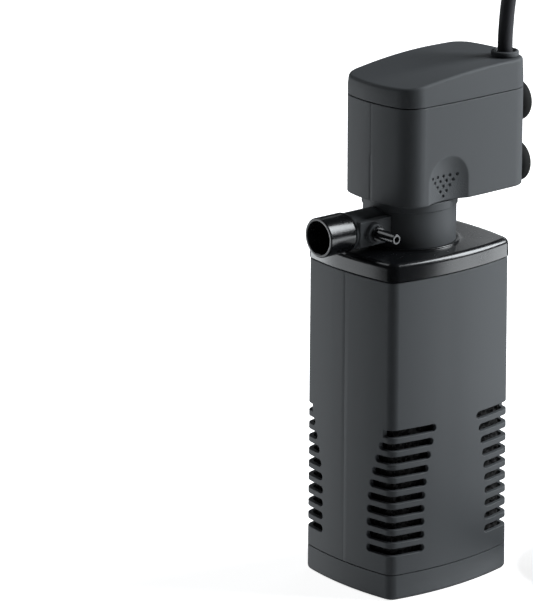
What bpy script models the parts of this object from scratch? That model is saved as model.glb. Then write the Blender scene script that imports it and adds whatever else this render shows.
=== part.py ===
"""Internal aquarium power filter: slotted canister, pump head on a swivel neck, mains cord.

Metres, +Z up.  The canister's axis is the Z axis and its foot stands on Z = 0.
The outlet points to -Y, the suction cups to +Y and the air inlet to +X.
"""
import math

import bmesh
import bpy
from mathutils import Matrix, Vector

# ---- driving dimensions -------------------------------------------------------------
GAP = 0.0003                    # clearance between faces that touch on the real filter
WALL = 0.002                    # canister wall
HEAD_WALL = 0.0018              # motor housing wall

BODY_HALF_X = 0.0300            # canister half sizes at its foot, over the bulged sides
BODY_HALF_Y = 0.0344
BODY_DRAFT = 0.0006             # how much narrower each half size is at the lid seam
BODY_BULGE_X = 0.0032           # how far the +-X sides bow out
BODY_BULGE_Y = 0.0020           # how far the +-Y sides bow out
BODY_CORNER = 0.0046            # vertical corner radius
BASE_SEAM_Z = 0.0108            # seam between bottom cap and canister
LID_SEAM_Z = 0.1325             # seam between canister and lid
LID_TOP_Z = 0.1400
LID_PROUD = 0.0004              # the lid's rim stands out of the canister by this much
LID_ROUND = 0.0022

SLOTS = 10                      # slots at each corner
SLOT_HEIGHT = 0.0031
SLOT_PITCH = 0.0055
SLOT_LOWEST_Z = 0.0205
WEB_X_TOP, WEB_X_LOW = 0.0110, 0.0165     # half width of the solid web on the +-X sides
WEB_Y_TOP, WEB_Y_LOW = 0.0215, 0.0135     # half width of the solid web on the +-Y sides
WEB_FLAT_SLOTS = 4              # the lowest slots end on one upright line

NECK_R = 0.0187
FLANGE_R = 0.0192
FLANGE_Z = 0.1554               # underside of the flange below the motor housing
CHAMBER_R = 0.0160              # impeller chamber
CHAMBER_Z = 0.1434
SPIGOT_R = 0.0130               # the neck's plug in the lid
SPIGOT_Z = 0.1300
COLLAR_INNER_R, COLLAR_OUTER_R = 0.0190, 0.0208
COLLAR_TOP_Z = 0.1408

OUTLET_Z = 0.1486               # outlet axis height
OUTLET_ROOT_R = 0.0075
OUTLET_SEAM_Y = -0.0342         # where the removable nozzle starts
OUTLET_BORE_R = 0.0062
NOZZLE_R = 0.0080
NOZZLE_LENGTH = 0.0138
NOZZLE_PLUG = 0.0056
AIR_Y = -0.0262                 # air inlet axis
AIR_BOSS_R = 0.0040
AIR_PAD_X = 0.0080              # flat side of the outlet root that carries the air inlet
AIR_BOSS_X = 0.0100
AIR_TUBE_R = 0.0021
AIR_TUBE_X = 0.0216             # open end of the air inlet tube

HEAD_HALF_X = 0.0215
HEAD_FRONT_Y, HEAD_BACK_Y = -0.0211, 0.0479
HEAD_CORNER = 0.0092
HEAD_BULGE_X, HEAD_BULGE_Y = 0.0005, 0.0013
HEAD_BOTTOM_Z = 0.1589
CAP_SEAM_Z = 0.1990
CAP_FRONT_Z, CAP_TOP_Z = 0.2064, 0.2110
CAP_LEVEL_Y = 0.0300            # behind this the roof is level
SCOOP_Y = 0.0016                # thumb scoop on the +X side
SCOOP_HALF_WIDTH = 0.0104
SCOOP_TOP_Z = 0.1776
SCOOP_DEPTH = 0.0024

WELL_R = 0.0086                 # rotor well
WELL_OUTER_R = 0.0100
WELL_TOP_Z = 0.1890
MAGNET_R = 0.0078
SHAFT_R = 0.0012
IMPELLER_R = 0.0125
BLADES = 6

CORE_Z, CORE_TOP_Z = 0.1670, 0.1810
LEG_IN_X, LEG_OUT_X = 0.0108, 0.0158
COIL_START_Y, COIL_END_Y = 0.0140, 0.0340

CUP_R = 0.0086
CUP_RIM_Y = 0.0587
CUP_Z = (0.1879, 0.1625)

CORD_R = 0.0030
CORD_EXIT = (0.0125, 0.0390)
GROMMET_R = 0.0056
GROMMET_TOP_Z = 0.2134
COIL_CENTRE = (0.0590, 0.0750)
COIL_MID_R = 0.0330             # middle of the coiled cord's turns
COIL_FOOT_Z = 0.0009
COIL_HALF_WIDTH = 0.0092
COIL_HEIGHT = 0.0122
TIE_WIDTH = 0.0080
TIE_ROOM, TIE_THICK = 0.0006, 0.0008
PLUG_X = 0.0897
PLUG_BACK_Y = 0.0280            # where the strain relief joins the plug's body
PLUG_LENGTH = 0.0250
PLUG_HALF_WIDTH, PLUG_HEIGHT = 0.0115, 0.0125
PLUG_CORNER = 0.0050
PLUG_SHAPE = (                  # ahead of the back, half width, half height, corner
    (-0.0100, 0.0042, 0.0042, 0.0040), (-0.0020, 0.0052, 0.0050, 0.0045),
    (0.0, 0.0070, 0.0055, 0.0045), (0.0050, 0.0100, PLUG_HEIGHT / 2, PLUG_CORNER),
    (0.0110, PLUG_HALF_WIDTH, PLUG_HEIGHT / 2, PLUG_CORNER),
    (PLUG_LENGTH, PLUG_HALF_WIDTH, PLUG_HEIGHT / 2, PLUG_CORNER),
)
BLADE_X = 0.00635               # the two flat pins, either side of the middle
BLADE_THICK, BLADE_HEIGHT, BLADE_LENGTH = 0.0015, 0.0063, 0.0170
BLADE_ROOT = 0.0055             # how far a pin reaches into the plug

# the cord from the grommet to the coil, and from the coil to the plug
CORD_ROUTE = (
    (0.0125, 0.0390, 0.2137), (0.0126, 0.0392, 0.2220), (0.0132, 0.0405, 0.2360),
    (0.0136, 0.0460, 0.2510), (0.0145, 0.0575, 0.2650), (0.0160, 0.0725, 0.2710),
    (0.0182, 0.0868, 0.2660), (0.0203, 0.0972, 0.2520), (0.0217, 0.1021, 0.2340),
    (0.0221, 0.1035, 0.2100), (0.0222, 0.1037, 0.1700), (0.0222, 0.1038, 0.1300),
    (0.0222, 0.1038, 0.0900), (0.0225, 0.1039, 0.0560), (0.0245, 0.1045, 0.0385),
    (0.0299, 0.1064, 0.0255), (0.0381, 0.1095, 0.0185), (0.0462, 0.1122, 0.0168),
)
TAIL_ROUTE = ((0.0898, 0.0414, 0.0059), (0.0897, 0.0398, 0.0062), (0.0897, 0.0384, 0.00625))
ROUTE_STEP = 0.0125             # spacing of the tube's points along the cord

FINISHES = {                    # colour, roughness, metallic
    "shell_plastic": ((0.045, 0.047, 0.051), 0.38, 0.0),
    "inner_plastic": ((0.030, 0.031, 0.034), 0.50, 0.0),
    "foam": ((0.012, 0.012, 0.012), 0.95, 0.0),
    "rubber": ((0.010, 0.010, 0.010), 0.60, 0.0),
    "cord_pvc": ((0.020, 0.021, 0.023), 0.45, 0.0),
    "magnet": ((0.070, 0.070, 0.075), 0.50, 0.2),
    "impeller_plastic": ((0.550, 0.560, 0.570), 0.40, 0.0),
    "ceramic": ((0.850, 0.840, 0.800), 0.25, 0.0),
    "steel": ((0.420, 0.420, 0.430), 0.40, 1.0),
    "bobbin_nylon": ((0.700, 0.680, 0.600), 0.45, 0.0),
    "copper": ((0.600, 0.240, 0.110), 0.35, 1.0),
    "resin": ((0.060, 0.055, 0.050), 0.30, 0.0),
    "brass": ((0.720, 0.620, 0.420), 0.30, 1.0),
}


# ---- modelling tools ----------------------------------------------------------------
def clear_scene():
    for old in list(bpy.data.objects):
        bpy.data.objects.remove(old, do_unlink=True)


def finish(name):
    """Material of a finish, made once."""
    material = bpy.data.materials.get(name)
    if material is None:
        colour, roughness, metallic = FINISHES[name]
        material = bpy.data.materials.new(name)
        material.use_nodes = True
        shader = material.node_tree.nodes["Principled BSDF"]
        shader.inputs["Base Color"].default_value = (*colour, 1.0)
        shader.inputs["Roughness"].default_value = roughness
        shader.inputs["Metallic"].default_value = metallic
        material.diffuse_color = (*colour, 1.0)
    return material


def add(name, bm, finish_name, parent=None):
    """Object from a bmesh, with its faces turned outwards."""
    bmesh.ops.recalc_face_normals(bm, faces=bm.faces[:])
    mesh = bpy.data.meshes.new(name)
    bm.to_mesh(mesh)
    bm.free()
    mesh.shade_smooth()
    mesh.set_sharp_from_angle(angle=math.radians(32))
    piece = bpy.data.objects.new(name, mesh)
    bpy.context.scene.collection.objects.link(piece)
    if finish_name:
        mesh.materials.append(finish(finish_name))
    piece.parent = parent
    return piece


def pivot(name, place=(0.0, 0.0, 0.0)):
    """Empty on a joint's axis; the pieces that move there are its children."""
    empty = bpy.data.objects.new(name, None)
    empty.location = place
    bpy.context.scene.collection.objects.link(empty)
    return empty


def combine(piece, tool, operation):
    """Cut a hidden tool out of a piece, or join it on."""
    tool.hide_render = True
    tool.display_type = "WIRE"
    tool.parent = piece.parent
    modifier = piece.modifiers.new(tool.name, "BOOLEAN")
    modifier.operation = operation
    modifier.solver = "EXACT"
    modifier.object = tool


def cut(piece, *tools):
    for tool in tools:
        combine(piece, tool, "DIFFERENCE")


def join(piece, *tools):
    for tool in tools:
        combine(piece, tool, "UNION")


def loft(name, sections, finish_name=None, parent=None, tube=False):
    """Skin through closed sections; the ends are filled, or joined to make a tube's wall."""
    bm = bmesh.new()
    rings = [[bm.verts.new(point) for point in section] for section in sections]
    pairs = list(zip(rings, rings[1:]))
    if tube:
        pairs.append((rings[-1], rings[0]))
    else:
        bm.faces.new(rings[0])
        bm.faces.new(rings[-1])
    for near, far in pairs:
        for i in range(len(near)):
            bm.faces.new((near[i - 1], near[i], far[i], far[i - 1]))
    return add(name, bm, finish_name, parent)


def turned(name, profile, finish_name=None, parent=None, steps=32, place=(0, 0, 0), turn=(0, 0, 0)):
    """Solid of revolution about local Z; a profile that starts on the axis is left open there."""
    bm = bmesh.new()
    verts = [bm.verts.new((radius, 0.0, height)) for radius, height in profile]
    pairs = list(zip(verts, verts[1:]))
    if profile[0][0] > 0.0:
        pairs.append((verts[-1], verts[0]))
    edges = [bm.edges.new(pair) for pair in pairs]
    bmesh.ops.spin(bm, geom=verts + edges, cent=(0, 0, 0), axis=(0, 0, 1),
                   angle=math.tau, steps=steps, use_merge=True)
    bmesh.ops.remove_doubles(bm, verts=bm.verts[:], dist=1e-6)
    piece = add(name, bm, finish_name, parent)
    piece.location = place
    piece.rotation_euler = turn
    return piece


def rod(name, radius, start, end, finish_name=None, parent=None, steps=24,
        place=(0, 0, 0), turn=(0, 0, 0)):
    """Plain cylinder from start to end along local Z."""
    return turned(name, [(0, start), (radius, start), (radius, end), (0, end)],
                  finish_name, parent, steps, place, turn)


def block(name, low, high, finish_name=None, parent=None):
    """Box between two corners."""
    bm = bmesh.new()
    size = Vector(high) - Vector(low)
    centre = (Vector(high) + Vector(low)) / 2
    place = Matrix.Translation(centre) @ Matrix.Diagonal((*size, 1.0))
    bmesh.ops.create_cube(bm, size=1.0, matrix=place)
    return add(name, bm, finish_name, parent)


def prism(name, outline, start, end, place, finish_name=None, parent=None):
    """Outline of (a, b) pairs, given as points by place(a, b, depth), between two depths."""
    sections = [[place(a, b, depth) for a, b in outline] for depth in (start, end)]
    return loft(name, sections, finish_name, parent)


def arc(centre, radius, start, end, steps):
    """Points on an arc, angles in degrees."""
    angles = (math.radians(start + (end - start) * i / steps) for i in range(steps + 1))
    return [(centre[0] + radius * math.cos(a), centre[1] + radius * math.sin(a)) for a in angles]


def bulged_outline(half_x, half_y, bulge_x, bulge_y, corner, centre_y=0.0,
                   side_steps=4, corner_steps=3):
    """Rounded rectangle with bowed sides, as (x, y) points."""
    key_x = half_x - corner - bulge_x
    key_y = half_y - corner - bulge_y
    radius_x = (key_y**2 + bulge_x**2) / (2 * bulge_x)      # of the bow on the +-X sides
    radius_y = (key_x**2 + bulge_y**2) / (2 * bulge_y)
    open_x = math.degrees(math.asin(key_y / radius_x))
    open_y = math.degrees(math.asin(key_x / radius_y))
    right = arc((key_x + bulge_x - radius_x, 0), radius_x + corner, 0, open_x, side_steps // 2)
    round_corner = arc((key_x, key_y), corner, open_x, 90 - open_y, corner_steps)
    back = arc((0, key_y + bulge_y - radius_y), radius_y + corner, 90 - open_y, 90, side_steps // 2)
    quarter = right + round_corner[1:-1] + back
    half = quarter + [(-x, y) for x, y in reversed(quarter[:-1])]
    whole = half + [(x, -y) for x, y in reversed(half[1:-1])]
    return [(x, y + centre_y) for x, y in whole]


def body_section(z, inset=0.0):
    """Canister section at a height, drawn in by an inset, with the mould's draft."""
    drawn = inset + BODY_DRAFT * (z - BASE_SEAM_Z) / (LID_SEAM_Z - BASE_SEAM_Z)
    outline = bulged_outline(BODY_HALF_X - drawn, BODY_HALF_Y - drawn, BODY_BULGE_X,
                             BODY_BULGE_Y, max(BODY_CORNER - inset, 0.0012))
    return [(x, y, z) for x, y in outline]


def head_section(z, inset=0.0):
    """Motor housing section at a height."""
    outline = bulged_outline(HEAD_HALF_X - inset, (HEAD_BACK_Y - HEAD_FRONT_Y) / 2 - inset,
                             HEAD_BULGE_X, HEAD_BULGE_Y, HEAD_CORNER - inset,
                             (HEAD_FRONT_Y + HEAD_BACK_Y) / 2)
    return [(x, y, z) for x, y in outline]


# ---- canister -----------------------------------------------------------------------
def make_base():
    profile = ((0.0, 0.0018), (0.0006, 0.0005), (0.0019, 0.0), (BASE_SEAM_Z - GAP / 2, 0.0),
               (BASE_SEAM_Z - GAP / 2, WALL + GAP), (0.0155, WALL + GAP),
               (0.0155, WALL + GAP + 0.0015), (0.0022, WALL + GAP + 0.0015))
    return loft("canister_base", [body_section(z, inset) for z, inset in profile], "shell_plastic")


def slot_outline(inner, outer, z):
    """Slot seen from outside: a round end at the web, running off past the corner."""
    radius = SLOT_HEIGHT / 2
    end = arc((inner + radius, z), radius, 270, 90, 3)
    return end + [(outer, z + radius), (outer, z - radius)]


def web_half_width(row, top, low):
    """Half width of the solid web at a slot row, counted from the lowest."""
    rise = max(row - WEB_FLAT_SLOTS + 1, 0) / (SLOTS - WEB_FLAT_SLOTS)
    return low + (top - low) * rise**1.6


def slot_cutters(name, across_x):
    """Every slot's part on the +-X sides, or on the +-Y sides, as one cutting tool."""
    bm = bmesh.new()
    top, low = (WEB_X_TOP, WEB_X_LOW) if across_x else (WEB_Y_TOP, WEB_Y_LOW)
    reach = BODY_HALF_Y + 0.004 if across_x else BODY_HALF_X + 0.004
    depth = (0.0215, BODY_HALF_X + 0.004) if across_x else (0.0265, BODY_HALF_Y + 0.004)
    for row in range(SLOTS):
        z = SLOT_LOWEST_Z + SLOT_PITCH * row
        outline = slot_outline(web_half_width(row, top, low), reach, z)
        for side in (-1, 1):
            for turn in (-1, 1):
                near, far = (
                    [bm.verts.new((side * d, turn * a, b) if across_x else (turn * a, side * d, b))
                     for a, b in outline] for d in depth)
                bm.faces.new(near)
                bm.faces.new(far)
                for i in range(len(near)):
                    bm.faces.new((near[i - 1], near[i], far[i], far[i - 1]))
    return add(name, bm, None)


def make_canister(parent):
    low, high = BASE_SEAM_Z + GAP / 2, LID_SEAM_Z - GAP / 2
    body = loft("canister_body", [body_section(low), body_section(high),
                                  body_section(high, WALL), body_section(low, WALL)],
                "shell_plastic", parent, tube=True)
    cut(body, slot_cutters("slots_x", True), slot_cutters("slots_y", False))


def make_lid(parent):
    top, under = LID_TOP_Z, LID_TOP_Z - 0.0020
    rim, plug_z = LID_SEAM_Z + GAP / 2, 0.1279
    steps = ((plug_z, WALL + GAP + 0.0014), (plug_z, WALL + GAP), (rim, WALL + GAP),
             (rim, -LID_PROUD), (top - LID_ROUND, -LID_PROUD),
             (top - 0.3 * LID_ROUND, 0.3 * LID_ROUND - LID_PROUD), (top, LID_ROUND - LID_PROUD))
    lid = loft("canister_lid", [body_section(under, WALL + GAP + 0.0014)]
               + [body_section(z, inset) for z, inset in steps], "shell_plastic", parent)
    bore = SPIGOT_R + GAP
    cut(lid, rod("lid_opening", bore + 0.001, 0.12, 0.15, steps=32))
    join(lid,
         turned("lid_socket", [(bore, 0.1262), (bore + 0.002, 0.1262),
                               (bore + 0.002, top - GAP), (bore, top - GAP)]),
         turned("lid_collar", [(COLLAR_INNER_R, top - 0.001), (COLLAR_OUTER_R, top - 0.001),
                               (COLLAR_OUTER_R, COLLAR_TOP_Z), (COLLAR_INNER_R, COLLAR_TOP_Z)]))


def make_core_tube(parent):
    flange = SPIGOT_R
    tube = turned("core_tube", [(0.0076, 0.0060), (0.0090, 0.0060), (0.0090, 0.1272),
                                (flange, 0.1272), (flange, 0.1290), (0.0076, 0.1290)],
                  "inner_plastic", parent, steps=16)
    for row in range(6):
        z = 0.0260 + 0.0160 * row
        for name, x, y in (("x", 0.012, 0.0028), ("y", 0.0028, 0.012)):
            cut(tube, block(f"core_window_{name}{row}", (-x, -y, z), (x, y, z + 0.0080)))


def make_sponge(parent):
    inset = WALL + 0.0010
    low, high = 0.0160, 0.1235
    outline = [(x, y) for x, y, _ in body_section(high, inset)]
    bore = arc((0, 0), 0.0094, 0, 360 - 360 / len(outline), len(outline) - 1)
    rings = [[(x, y, z) for x, y in line] for line, z in
             ((outline, low), (outline, high), (bore, high), (bore, low))]
    loft("filter_sponge", rings, "foam", parent, tube=True)


# ---- swivel neck --------------------------------------------------------------------
TO_FRONT = (math.pi / 2, 0.0, 0.0)        # turns local +Z to -Y
TO_BACK = (-math.pi / 2, 0.0, 0.0)
TO_RIGHT = (0.0, math.pi / 2, 0.0)        # turns local +Z to +X


def make_neck(parent):
    groove, foot = 0.0011, LID_TOP_Z + GAP
    neck = turned("pump_neck", [
        (SPIGOT_R, SPIGOT_Z), (SPIGOT_R, 0.1332), (SPIGOT_R - groove, 0.1332),
        (SPIGOT_R - groove, 0.1356), (SPIGOT_R, 0.1356), (SPIGOT_R, foot), (NECK_R, foot),
        (NECK_R, FLANGE_Z), (FLANGE_R, FLANGE_Z), (FLANGE_R, HEAD_BOTTOM_Z - GAP),
        (CHAMBER_R, HEAD_BOTTOM_Z - GAP), (CHAMBER_R, CHAMBER_Z), (0.0106, CHAMBER_Z),
        (0.0106, SPIGOT_Z)], "shell_plastic", parent)
    axis = (0, 0, OUTLET_Z)
    join(neck,
         rod("outlet_root", OUTLET_ROOT_R, 0.0166, -OUTLET_SEAM_Y, place=axis, turn=TO_FRONT),
         block("air_pad", (-0.0013, -0.0332, 0.1432), (AIR_PAD_X, -0.0166, 0.1538)),
         rod("air_boss", AIR_BOSS_R, 0.0050, AIR_BOSS_X, place=(0, AIR_Y, OUTLET_Z), turn=TO_RIGHT))
    cut(neck,
        rod("air_bore", AIR_TUBE_R + GAP, 0.0040, 0.0120, place=(0, AIR_Y, OUTLET_Z),
            turn=TO_RIGHT, steps=14),
        rod("outlet_bore", OUTLET_BORE_R, 0.0120, 0.0400, place=axis, turn=TO_FRONT))


def make_neck_seal(parent):
    centre, radius = (SPIGOT_R - 0.00022, 0.1344), 0.00046
    turned("neck_seal", arc(centre, radius, 0, 300, 5), "rubber", parent, steps=24)


def make_air_inlet(parent):
    bore, flange = 0.0010, 0.0031
    turned("air_inlet_tube", [
        (bore, 0.0068), (AIR_TUBE_R, 0.0068), (AIR_TUBE_R, AIR_BOSS_X + GAP),
        (flange, AIR_BOSS_X + GAP), (flange, AIR_BOSS_X + 0.0011),
        (AIR_TUBE_R, AIR_BOSS_X + 0.0011), (AIR_TUBE_R, AIR_TUBE_X - 0.0003),
        (AIR_TUBE_R - 0.0003, AIR_TUBE_X), (bore, AIR_TUBE_X)],
        "shell_plastic", parent, steps=16, place=(0, AIR_Y, OUTLET_Z), turn=TO_RIGHT)


def make_inlet_plate(parent):
    plate = turned("impeller_inlet_plate", [
        (0.0035, CHAMBER_Z + GAP), (CHAMBER_R - GAP, CHAMBER_Z + GAP),
        (CHAMBER_R - GAP, CHAMBER_Z + 0.0016), (0.0035, CHAMBER_Z + 0.0016)],
        "inner_plastic", parent, steps=24)
    for i in range(6):
        angle = math.tau * i / 6
        cut(plate, rod(f"inlet_hole_{i}", 0.0022, 0.14, 0.15, steps=8,
                       place=(0.0066 * math.cos(angle), 0.0066 * math.sin(angle), 0)))


def bush(name, start, reach, parent):
    """Rubber cup that holds one end of the shaft; reach is its height, with a sign."""
    bore, outer, floor = SHAFT_R + GAP, 0.0032, math.copysign(0.0010, reach)
    turned(name, [(0, start), (outer, start), (outer, start + reach), (bore, start + reach),
                  (bore, start + floor), (0, start + floor)], "rubber", parent, steps=20)


# ---- removable nozzle ---------------------------------------------------------------
def make_nozzle(parent):
    plug_r, wall, long = OUTLET_BORE_R - GAP, 0.0013, NOZZLE_LENGTH
    turned("outlet_nozzle", [
        (plug_r - wall, -NOZZLE_PLUG), (plug_r, -NOZZLE_PLUG), (plug_r, GAP),
        (OUTLET_ROOT_R, GAP), (NOZZLE_R, 0.0010), (NOZZLE_R, long - 0.0007),
        (NOZZLE_R - 0.0004, long), (NOZZLE_R - wall, long), (NOZZLE_R - wall - 0.0003, long - 0.0008),
        (NOZZLE_R - wall - 0.0003, 0.0030), (plug_r - wall, 0.0008)],
        "shell_plastic", parent, steps=24, turn=TO_FRONT)


# ---- pump head ----------------------------------------------------------------------
def make_housing(parent):
    floor = HEAD_BOTTOM_Z + 0.0021
    rim = CAP_SEAM_Z - GAP / 2
    housing = loft("motor_housing", [
        head_section(HEAD_BOTTOM_Z, 0.0006), head_section(HEAD_BOTTOM_Z + 0.0006),
        head_section(rim), head_section(rim, HEAD_WALL), head_section(floor, HEAD_WALL)],
        "shell_plastic", parent)
    plug_r, step = CHAMBER_R - GAP, FLANGE_Z + 0.0004
    join(housing,
         turned("rotor_well", [(0, step), (plug_r, step), (plug_r, floor - 0.001),
                               (WELL_OUTER_R, floor - 0.001), (WELL_OUTER_R, 0.1850),
                               (0.0050, 0.1850), (0.0050, WELL_TOP_Z + 0.0015),
                               (0, WELL_TOP_Z + 0.0015)]),
         block("scoop_backing", (0.0160, SCOOP_Y - SCOOP_HALF_WIDTH - 0.0015, floor - 0.001),
               (HEAD_HALF_X - 0.001, SCOOP_Y + SCOOP_HALF_WIDTH + 0.0015, SCOOP_TOP_Z + 0.0015)))
    for i, z in enumerate(CUP_Z):
        join(housing, rod(f"cup_boss_{i}", 0.0042, 0.0425, HEAD_BACK_Y - 0.0008,
                          place=(0, 0, z), turn=TO_BACK, steps=16))
    cut(housing,
        turned("well_bore", [(0, 0.150), (WELL_R, 0.150), (WELL_R, 0.1835), (0.0035, 0.1835),
                             (0.0035, WELL_TOP_Z), (0, WELL_TOP_Z)]),
        prism("thumb_scoop", scoop_outline(), HEAD_HALF_X - SCOOP_DEPTH, HEAD_HALF_X + 0.002,
              lambda a, b, depth: (depth, a, b)))
    for i, z in enumerate(CUP_Z):
        cut(housing, rod(f"cup_hole_{i}", 0.0024, HEAD_BACK_Y - 0.0040, HEAD_BACK_Y + 0.001,
                         place=(0, 0, z), turn=TO_BACK, steps=16))


def scoop_outline():
    """Arch-topped recess, open at the housing's lower edge, as (y, z)."""
    arch = arc((SCOOP_Y, SCOOP_TOP_Z - SCOOP_HALF_WIDTH), SCOOP_HALF_WIDTH, 0, 180, 10)
    low = HEAD_BOTTOM_Z - 0.002
    return arch + [(SCOOP_Y - SCOOP_HALF_WIDTH, low), (SCOOP_Y + SCOOP_HALF_WIDTH, low)]


def roof_line():
    """Height of the cap's roof from front to back, as (y, z)."""
    points, steps = [], 8
    for i in range(steps + 1):
        y = HEAD_FRONT_Y + (CAP_LEVEL_Y - HEAD_FRONT_Y) * i / steps
        points.append((y, CAP_FRONT_Z + (CAP_TOP_Z - CAP_FRONT_Z) * math.sin(math.pi / 2 * i / steps)))
    return points


def make_cap(parent):
    low = CAP_SEAM_Z + GAP / 2
    cap = loft("head_cap", [head_section(0.2040, HEAD_WALL), head_section(low, HEAD_WALL),
                            head_section(low), head_section(0.2150)], "shell_plastic", parent)
    line = roof_line()
    above = ([(line[0][0] - 0.01, line[0][1])] + line + [(HEAD_BACK_Y + 0.01, CAP_TOP_Z),
             (HEAD_BACK_Y + 0.01, 0.22), (HEAD_FRONT_Y - 0.01, 0.22)])
    cut(cap,
        prism("above_roof", above, -0.03, 0.03, lambda a, b, depth: (depth, a, b)),
        rod("cord_hole", 0.0045, 0.19, 0.22, place=(*CORD_EXIT, 0)))


def make_grommet(parent):
    stem, under = 0.0042, 0.2020
    turned("cord_grommet", [
        (0, under), (stem, under), (stem, CAP_TOP_Z + GAP), (GROMMET_R, CAP_TOP_Z + GAP),
        (GROMMET_R, GROMMET_TOP_Z - 0.0003), (GROMMET_R - 0.0003, GROMMET_TOP_Z),
        (0, GROMMET_TOP_Z)], "rubber", parent, steps=24, place=(*CORD_EXIT, 0))


def make_motor(parent):
    """Laminated U-core round the rotor well, with a wound bobbin on each leg."""
    pole, back, shoe = 0.0080, 0.0420, 0.0090
    side = [(LEG_OUT_X, back), (LEG_OUT_X, -shoe), (pole, -shoe), (pole, shoe),
            (LEG_IN_X, shoe), (LEG_IN_X, back - 0.0050)]
    core = prism("stator_core", side + [(-x, y) for x, y in reversed(side)], CORE_Z, CORE_TOP_Z,
                 lambda a, b, depth: (a, b, depth), "steel", parent)
    cut(core, rod("pole_bore", WELL_OUTER_R + GAP, 0.15, 0.20, steps=32))
    for name, side_x in (("right", 1), ("left", -1)):
        make_coil(name, side_x, parent)


def make_coil(name, side_x, parent):
    leg = ((LEG_IN_X, LEG_OUT_X), (CORE_Z, CORE_TOP_Z))

    def section(y, room):
        """Rectangle round the leg, grown on every side by room."""
        (x0, x1), (z0, z1) = leg
        return [(side_x * (x0 - room), y, z0 - room), (side_x * (x1 + room), y, z0 - room),
                (side_x * (x1 + room), y, z1 + room), (side_x * (x0 - room), y, z1 + room)]

    bore, tube, wound, rim = GAP, 0.0012, 0.0028, 0.0031
    start, end, cheek = COIL_START_Y, COIL_END_Y, 0.0010
    loft(f"coil_bobbin_{name}", [
        section(start, bore), section(start, rim), section(start + cheek, rim),
        section(start + cheek, tube), section(end - cheek, tube), section(end - cheek, rim),
        section(end, rim), section(end, bore)], "bobbin_nylon", parent, tube=True)
    first, last = start + cheek + GAP, end - cheek - GAP
    loft(f"coil_winding_{name}", [
        section(first, tube + GAP), section(first, wound), section(last, wound),
        section(last, tube + GAP)], "copper", parent, tube=True)


def make_resin(parent):
    inset = HEAD_WALL + GAP
    resin = loft("potting_resin", [head_section(0.1868, inset), head_section(0.1935, inset)],
                 "resin", parent)
    cut(resin, rod("resin_over_well", 0.0054, 0.18, WELL_TOP_Z + 0.0018))
    for i, z in enumerate(CUP_Z):
        cut(resin, rod(f"resin_at_cup_{i}", 0.0046, 0.0415, 0.0500, place=(0, 0, z),
                       turn=TO_BACK, steps=16))


def make_cups(parent):
    stem, wall_y = 0.0021, HEAD_BACK_Y + GAP
    deep = CUP_RIM_Y - wall_y
    profile = [(0, -0.0035), (stem, -0.0035), (stem, 0.0), (0.0038, 0.0), (0.0038, 0.0012),
               (0.0026, 0.0022), (0.0030, 0.0036), (0.0056, 0.0050), (0.0078, deep - 0.0034),
               (CUP_R, deep - 0.0006), (CUP_R - 0.0005, deep), (0.0066, deep - 0.0026),
               (0.0040, deep - 0.0040), (0, deep - 0.0046)]
    for i, z in enumerate(CUP_Z):
        turned(f"suction_cup_{i + 1}", profile, "rubber", parent, steps=20,
               place=(0, wall_y, z), turn=TO_BACK)


# ---- rotor --------------------------------------------------------------------------
def make_rotor(parent):
    bore = SHAFT_R + 0.0004
    turned("rotor_magnet", [(bore, 0.1607), (MAGNET_R, 0.1607), (MAGNET_R, 0.1810),
                            (bore, 0.1810)], "magnet", parent)
    low, high, hub = 0.1478, 0.1604, 0.0040
    impeller = turned("impeller", [(bore, low), (hub, low), (hub, high), (bore, high)],
                      "impeller_plastic", parent, steps=24)
    for i in range(BLADES):
        blade = block(f"blade_{i}", (hub - 0.0008, -0.0005, low + 0.0002),
                      (IMPELLER_R, 0.0005, low + 0.0058))
        blade.rotation_euler = (0, 0, math.tau * i / BLADES)
        join(impeller, blade)


# ---- cord, coil, tie and plug -------------------------------------------------------
def smooth_route(route):
    """Points at even spacing on a curve that passes smoothly through the route."""
    spaced = [Vector(point) for point in route]
    ends = [spaced[0] * 2 - spaced[1], *spaced, spaced[-1] * 2 - spaced[-2]]
    fine = []
    for a, b, c, d in zip(ends, ends[1:], ends[2:], ends[3:]):
        for i in range(16):
            t = i / 16
            fine.append(((b * 2) + (c - a) * t + (a * 2 - b * 5 + c * 4 - d) * t**2
                         + (b * 3 - a - c * 3 + d) * t**3) / 2)
    fine.append(spaced[-1])
    length = sum((q - p).length for p, q in zip(fine, fine[1:]))
    count = max(round(length / ROUTE_STEP), 2)
    points, walked, wanted = [fine[0]], 0.0, length / count
    for p, q in zip(fine, fine[1:]):
        walked += (q - p).length
        if walked >= wanted - 1e-9 and len(points) < count:
            points.append(q)
            wanted += length / count
    return points + [fine[-1]]


def cord_tube(name, route, parent):
    points = smooth_route(route)
    curve = bpy.data.curves.new(name, "CURVE")
    curve.dimensions = "3D"
    curve.bevel_depth = CORD_R
    curve.bevel_resolution = 2
    curve.use_fill_caps = True
    spline = curve.splines.new("POLY")
    spline.points.add(len(points) - 1)
    for knot, point in zip(spline.points, points, strict=True):
        knot.co = (*point, 1.0)
    piece = bpy.data.objects.new(name, curve)
    piece.parent = parent
    curve.materials.append(finish("cord_pvc"))
    bpy.context.scene.collection.objects.link(piece)


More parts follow.
